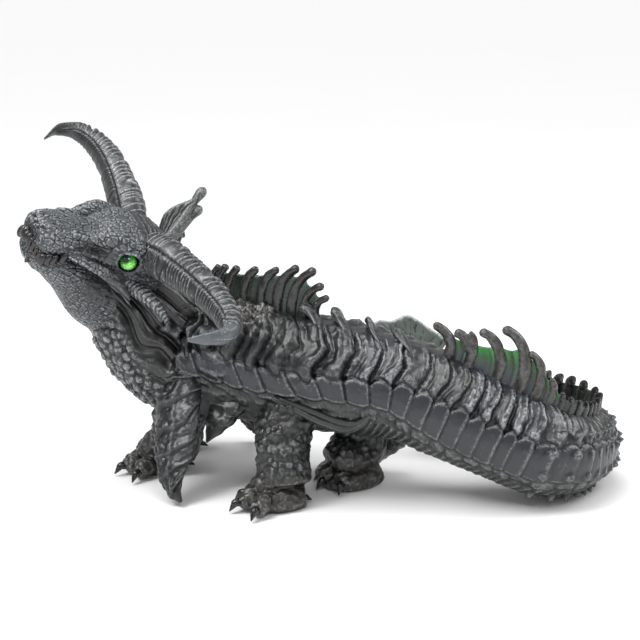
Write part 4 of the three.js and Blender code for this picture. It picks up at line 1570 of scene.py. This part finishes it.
# Dark at the foot, bright green toward the rim where the crest is green.
def webPaint(row, e, v, streak):
    low, start, end, high = crest["greenRows"]
    green = float(ramp(low, start, row) * ramp(high, end, row) + 0.25 * bump(row, 4.7, 0.2))
    up = np.concatenate([v, v[::-1]])[None, :]
    bright = ramp(0.12 + 0.3 * (1 - green), 0.9, up) * (0.06 + 0.94 * green) * (0.2 + 1.0 * streak)
    bright *= 0.75 + 0.35 * np.cos(2 * np.pi * e)[:, None]
    tone = evenPaint(paints["webDark"], bright.size)
    foot = np.broadcast_to(ramp(0.55, 0.1, up) * green, bright.shape)
    tone = blendPaint(tone, paints["plate"] * (3.0, 3.1, 3.2, 1, 1), foot.ravel())
    return withEnds(blendPaint(tone, paints["web"], bright.ravel()))


def webPart(spineA, spineB, number):
    gap = np.linalg.norm(spineA[2][8] - spineB[2][8])
    e = np.linspace(0, 1, max(9, int(gap / crest["webGrain"])))
    v = np.linspace(0.0, 1, 14)
    sheet, side = webSheet(spineA, spineB, e, v)
    streak = np.clip(0.5 + 0.8 * noiseAlong(e * gap / 2.6 + number * 17, 531), 0, 1)[:, None]
    thick = crest["webThickness"] / 2 * (1 - 0.6 * v[None, :]) * (0.8 + 0.35 * streak)
    swell = side[:, None] * thick[..., None]
    part = tube(np.concatenate([sheet + swell, (sheet - swell)[:, ::-1]], 1))
    return part, webPaint(np.array((spineA[0] + spineB[0]) / 2), e, v, streak)


def crestParts():
    painted, spines = [], []
    for number, (row, tall, hook, radius, lean) in enumerate([*crest["spines"], crest["secondTip"]]):
        path, side = crestPath(row, tall, hook, lean)
        spines.append((row, lean, path, side))
        part = crestSpine(path, side, hook, radius, number)
        dark = paints["neck"] * (1.5, 1.5, 1.4, 0.6, 1) + (0, 0, 0, 0, 0.3)
        painted.append((part, evenPaint(paints["hook"] * 0.8 if hook > 8 else dark, len(part[0]))))
    spines.pop()  # no web reaches the second tip
    for number, (one, other) in enumerate(zip(spines, spines[1:])):
        if other[0] - one[0] < crest["joinWebs"] and one[0] < crest["lastWeb"]:
            painted.append(webPart(one, other, number))
    for marks in crest["vanes"]:
        for way in (1, -1):
            part = vanePart(marks, way)
            painted.append((part, evenPaint(paints["fold"], len(part[0]))))
    return painted


crestPiece = makeJoined("crest", crestParts(), 8)


napeFan = {
    "root": (-184, -38, 240),
    "edge": [
        (-185, -26, 269),
        (-184, -19, 280),
        (-177, -10, 288),
        (-166, 2, 294),
        (-155, 15, 301),
        (-161, 6, 284),
        (-156, 9, 282),
        (-165, -2, 268),
        (-167, -7, 257),
        (-166, -16, 243),
    ],
    "fingers": (4, 6, 8, 9),
    "fingers": (4, 6, 8, 9),  # a finger ends at each of these points of the edge
    "fingerRadius": 5.2,
    "fingerKnob": 1.7,
    "fingerBend": 3,
    "reach": 0.93,
    "thickness": 6.5,
    "wrinkle": 1.6,
    "grid": (96, 32),
    "seed": 601,
}
fluke = {
    "root": (12, 159, 100),
    "edge": [
        (-33, 135, 145),
        (-23, 144, 152),
        (-11, 152, 152),
        (1, 162, 158),
        (10, 168, 154),
        (24, 174, 144),
        (41, 182, 131),
        (37, 175, 118),
    ],
    "reach": 1.0,
    "thickness": 5,
    "wrinkle": 0.8,
    "grid": (96, 36),
    "seed": 621,
}
flap = {
    # centre and half width
    "rows": [(-90, -30, 100, 24), (-91, -41, 85, 19), (-94, -54, 69, 11), (-97, -64, 55, 1.0)],
    "guide": (1, 0.25, 0.15),
    "flatness": 0.4,
    "grid": (60, 64),
}
swags = {
    # each swag's radius and its path: row along the spine, degrees from the back
    5.2: [(4.8, 104), (5.12, 113), (5.55, 127), (5.95, 134), (6.3, 122), (6.5, 110)],
    3.4: [(4.9, 103), (5.4, 114), (5.8, 123), (6.15, 124), (6.4, 114)],
}


def fanSheet(plan):
    across, upCount = plan["grid"]
    root = np.array(plan["root"], float)
    edge = curveThrough(plan["edge"], across)
    v = np.linspace(0.04, plan["reach"], upCount)[None, :]
    e = np.linspace(0, len(plan["edge"]) - 1, across)[:, None]
    sheet = root + (edge - root)[:, None] * v[..., None]
    spread = np.cross(edge[:-1] - root, edge[1:] - root).sum(0)
    normal = unit(spread)
    lumps = rough(sheet.reshape(-1, 3), 8, plan["seed"]).reshape(across, upCount)
    waves = plan["wrinkle"] * (ridge(e * 1.6 + 0.25 * lumps, 0.9) - 0.5) * ramp(0.1, 0.5, v) + 0.5 * lumps
    rim = 0.5 + 0.5 * roundEnd(v / plan["reach"], 0.9, 0.1, 0)
    thick = plan["thickness"] / 2 * (1.15 - 0.35 * v) * rim
    left = sheet + normal * (thick + waves)[..., None]
    right = sheet - normal * (thick - waves * 0.6)[..., None]
    return tube(np.concatenate([left, right[:, ::-1]], 1))


def napeFinger(number):
    root, tip = np.array(napeFan["root"], float), np.array(napeFan["edge"][number], float)
    share = np.linspace(0.1, 1.0, 36)
    size = napeFan["fingerRadius"] * (1.15 - 0.42 * share) + napeFan["fingerKnob"] * bump(share, 0.92, 0.08)
    size *= roundEnd(share, 0.94, 0.065)
    bend = unit(np.cross(tip - root, (0.3, 0.2, 0.9)))
    path = root + (tip - root) * share[:, None] + bend * (napeFan["fingerBend"] * np.sin(share * 5))[:, None]
    return tube(sweep(path, size, 20, (0.3, -0.8, 0.2)))


# The flap behind the near shoulder blade, in rings.
def flapRings(plan):
    stations, sides = plan["grid"]
    values = curveThrough(plan["rows"], stations)

    def folds(place, turn):
        creases = grain(641, np.cos(turn) * 2.4, np.sin(turn) * 2.4, place * 2.2).reshape(stations, sides)
        return 1 + 0.10 * creases * ramp(1, 0.7, place) + 0.05 * np.sin(place * 26 + 1.2 * np.cos(turn))

    rings = sweep(values[:, :3], values[:, 3], sides, plan["guide"], plan["flatness"], folds)
    flat = rings.reshape(-1, 3)
    ruck = 0.7 * rough(flat, 9, 642) + 0.8 * bump(noise(flat / (3, 3, 1), 5, 643), 0, 0.18)
    ruck = ruck.reshape(stations, sides) * ramp(52, 36, np.arange(stations))[:, None]
    return rings + unit(rings - values[:, None, :3]) * ruck[..., None]


# A swag of skin along the belly in front of the thigh.
def swagPart(marks, radius, way):
    spots = curveThrough(marks, 70)
    centre, skin, _ = spineSkin(spots[:, 0], spots[:, 1] * way)
    share = np.linspace(0, 1, len(spots))
    size = radius * np.sqrt(np.clip(np.sin(np.pi * (0.04 + 0.92 * share)), 0, 1))

    def grooves(place, turn):
        return 1 + 0.06 * np.cos(turn * 7)

    return tube(sweep(centre + skin, size, 28, (0, 0, 1), 0.8, grooves))


def skinParts():
    membrane, moss = paints["membrane"], paints["moss"]
    parts = [(fanSheet(napeFan), membrane * (0.32, 0.33, 0.28, 0.5, 1))]
    parts += [(napeFinger(number), membrane * (0.3, 0.3, 0.28, 0.5, 1)) for number in napeFan["fingers"]]
    # the fluke is a pale grey sheet, painted lighter still as painted light against the shade on its inner
    # face
    parts.append((fanSheet(fluke), membrane * 2.6))
    rings = flapRings(flap)
    parts += [(tube(placed), moss * (0.7, 0.7, 0.7, 1, 1)) for placed in (rings, acrossTrunk(rings))]
    for radius, marks in swags.items():
        parts += [(swagPart(marks, radius, way), moss * (0.7, 0.7, 0.7, 0.6, 1)) for way in (1, -1)]
    return [(part, evenPaint(tone, len(part[0]))) for part, tone in parts]


skinPiece = makeJoined("skins", skinParts(), 8)


eyeLook = {
    "iris": (0.03, 0.40, 0.03),
    # bright is painted light on the iris's lit side
    "bright": (0.30, 0.95, 0.14),
    "dark": (0.002, 0.016, 0.004),
    "gaze": (0.62, 1, 0.16),
    "pupilAndReflection": (0.36, 0.15, 0.34),  # to the snout, up, and half its width, in eye radii; a dark pupil that also stands for a painted dark reflection
    "spokes": (0.75, 0.25, 17),  # the least light, what a spoke adds, and how many
    "fleckSize": 600,
    "fleckSpan": (0.35, 0.65, 0.45, 1.5),
    "roughness": 0.06,
    "coatRoughness": 0.02,
}


def makeGlass(look):
    material, shader, make, fill, speckle = startMaterial("greenGlass")
    paint = make("ShaderNodeAttribute", attribute_name="paint").outputs["Color"]
    tone = mapped(make, speckle(look["fleckSize"], 3), look["fleckSpan"])
    colour = make("ShaderNodeVectorMath", (0, paint), (1, tone), operation="MULTIPLY").outputs[0]
    fill(shader, ("Base Color", colour), ("Roughness", look["roughness"]))
    fill(shader, ("Coat Weight", 1.0), ("Coat Roughness", look["coatRoughness"]))
    return material


glass = makeGlass(eyeLook)


def eyePaint(facing, across, lift):
    least, more, count = eyeLook["spokes"]
    spokes = least + more * np.sin(np.arctan2(lift, across) * count)
    toSnout, up, half = eyeLook["pupilAndReflection"]
    pupilAndReflection = np.hypot(across - toSnout, (lift - up) * 0.8) / half
    bright, dark = np.array(eyeLook["bright"]), np.array(eyeLook["dark"])
    paint = evenPaint(eyeLook["iris"], len(facing)) * spokes[:, None]
    # painted light: the iris is lit on its lower side, away from the snout
    paint = blendPaint(paint, bright, ramp(0.35, -0.6, across + lift * 0.8) * ramp(60, 34, facing))
    # the dark pupil, which also stands for a painted dark reflection
    paint = blendPaint(paint, dark, ramp(1.5, 0.8, pupilAndReflection))
    return blendPaint(paint, dark, ramp(50, 66, facing))


def makeEye(name, way):
    eye = np.array(head["eye"], float) * (1, way, 1)
    gaze = unit(np.array(eyeLook["gaze"]) * (1, way, 1))
    snoutward = unit(np.cross((0, 0, 1), gaze) * -way)
    upward = unit(np.array([0, 0, 1]) - gaze * gaze[2])
    verts, faces = ballPart(eye, [head["eyeRadius"]] * 3, np.array([snoutward, upward, gaze]), 34, 48)
    local = (verts - eye) / head["eyeRadius"]
    facing = np.degrees(np.arccos(np.clip(local @ gaze, -1, 1)))
    placed, faces = outwardFaces(fromHead(verts), faces)
    mesh = rawMesh(name, toFrame(placed), faces)
    mesh.shade_smooth()
    addColours(mesh, eyePaint(facing, local @ snoutward, local @ upward), glass)
    thing = finishPiece(name, mesh, faces)
    return thing


leftEye = makeEye("leftEye", 1)
rightEye = makeEye("rightEye", -1)
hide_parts("left_eye")
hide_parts("right_eye")


view = {
    "target": (0, 0, 185),
    "distance": 1500,
    "azimuth": 35,
    "elevation": 14,
    "lens": 84.375,
    "sensor": 36,
    "clip": 0.05,
}


def placeCamera():
    turn, lift = math.radians(view["azimuth"]), math.radians(view["elevation"])
    right = Vector((math.cos(turn), math.sin(turn), 0))
    back = Vector((math.sin(turn) * math.cos(lift), -math.cos(turn) * math.cos(lift), math.sin(lift)))
    up = back.cross(right)
    target = Vector(toFrame(view["target"]))
    camera = bpy.data.cameras.new("photoView")
    camera.lens = view["lens"]
    camera.sensor_width = view["sensor"]
    camera.clip_start = view["clip"]
    thing = putInScene("photoView", camera)
    away = view["distance"] / 1000
    rows = [(right[i], up[i], back[i], target[i] + back[i] * away) for i in range(3)]
    thing.matrix_world = Matrix([*rows, (0, 0, 0, 1)])
    bpy.context.scene.camera = thing
    return right, up, back, target


cameraRight, cameraUp, cameraBack, aim = placeCamera()
print("camera placed")

# Where each lamp is from the statue's middle, in metres: to the camera's right, up and toward the camera.
lamps = {
    "key": {"from": (-1.0, 1.2, 0.9), "size": 0.7, "power": 16},
    "rim": {"from": (1.3, 1.0, 0.1), "size": 0.8, "power": 10},
    "front": {"from": (0.3, 0.9, 1.5), "size": 0.6, "power": 5},
    "daylight": {"from": (-0.25, 1.0, 0.25), "spread": 40, "power": 1.75},
}


def placeLamp(name, plan):
    rightward, upward, toward = plan["from"]
    way = cameraRight * rightward + cameraUp * upward + cameraBack * toward
    light = bpy.data.lights.new(name, "SUN" if "spread" in plan else "AREA")
    light.energy = plan["power"]
    if "spread" in plan:
        light.angle = math.radians(plan["spread"])
    else:
        light.shape = "DISK"
        light.size = plan["size"]
    thing = putInScene(name, light)
    thing.location = aim + way
    thing.rotation_euler = way.to_track_quat("Z", "Y").to_euler()


for name, plan in lamps.items():
    placeLamp(name, plan)

studio = {"tone": (1, 1, 1, 1), "strength": 0.5, "floorSpan": (0.0, 1.0, 0.93, 0.95), "floorHalf": 80}
world = bpy.data.worlds.new("studio")
world.use_nodes = True
world.node_tree.nodes["Background"].inputs["Color"].default_value = studio["tone"]
world.node_tree.nodes["Background"].inputs["Strength"].default_value = studio["strength"]
bpy.context.scene.world = world
bpy.context.scene.view_settings.view_transform = "Standard"
print("lights placed")


def makeFloor():
    material, shader, make, fill, speckle = startMaterial("paleFloor")
    fill(shader, ("Base Color", mapped(make, speckle(3, 2), studio["floorSpan"])), ("Roughness", 0.9))
    half = studio["floorHalf"]
    corners = np.array([(-half, -half, 0), (half, -half, 0), (half, half, 0), (-half, half, 0)], float)
    mesh = rawMesh("floor", corners, [(0, 1, 2, 3)])
    mesh.materials.append(material)
    putInScene("floor", mesh)


makeFloor()

for piece in (trunk, tail, headPiece, hornPiece, *legPieces, bladePiece, crestPiece, skinPiece):
    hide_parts("dragon")
print("triangles in all", sum(made))
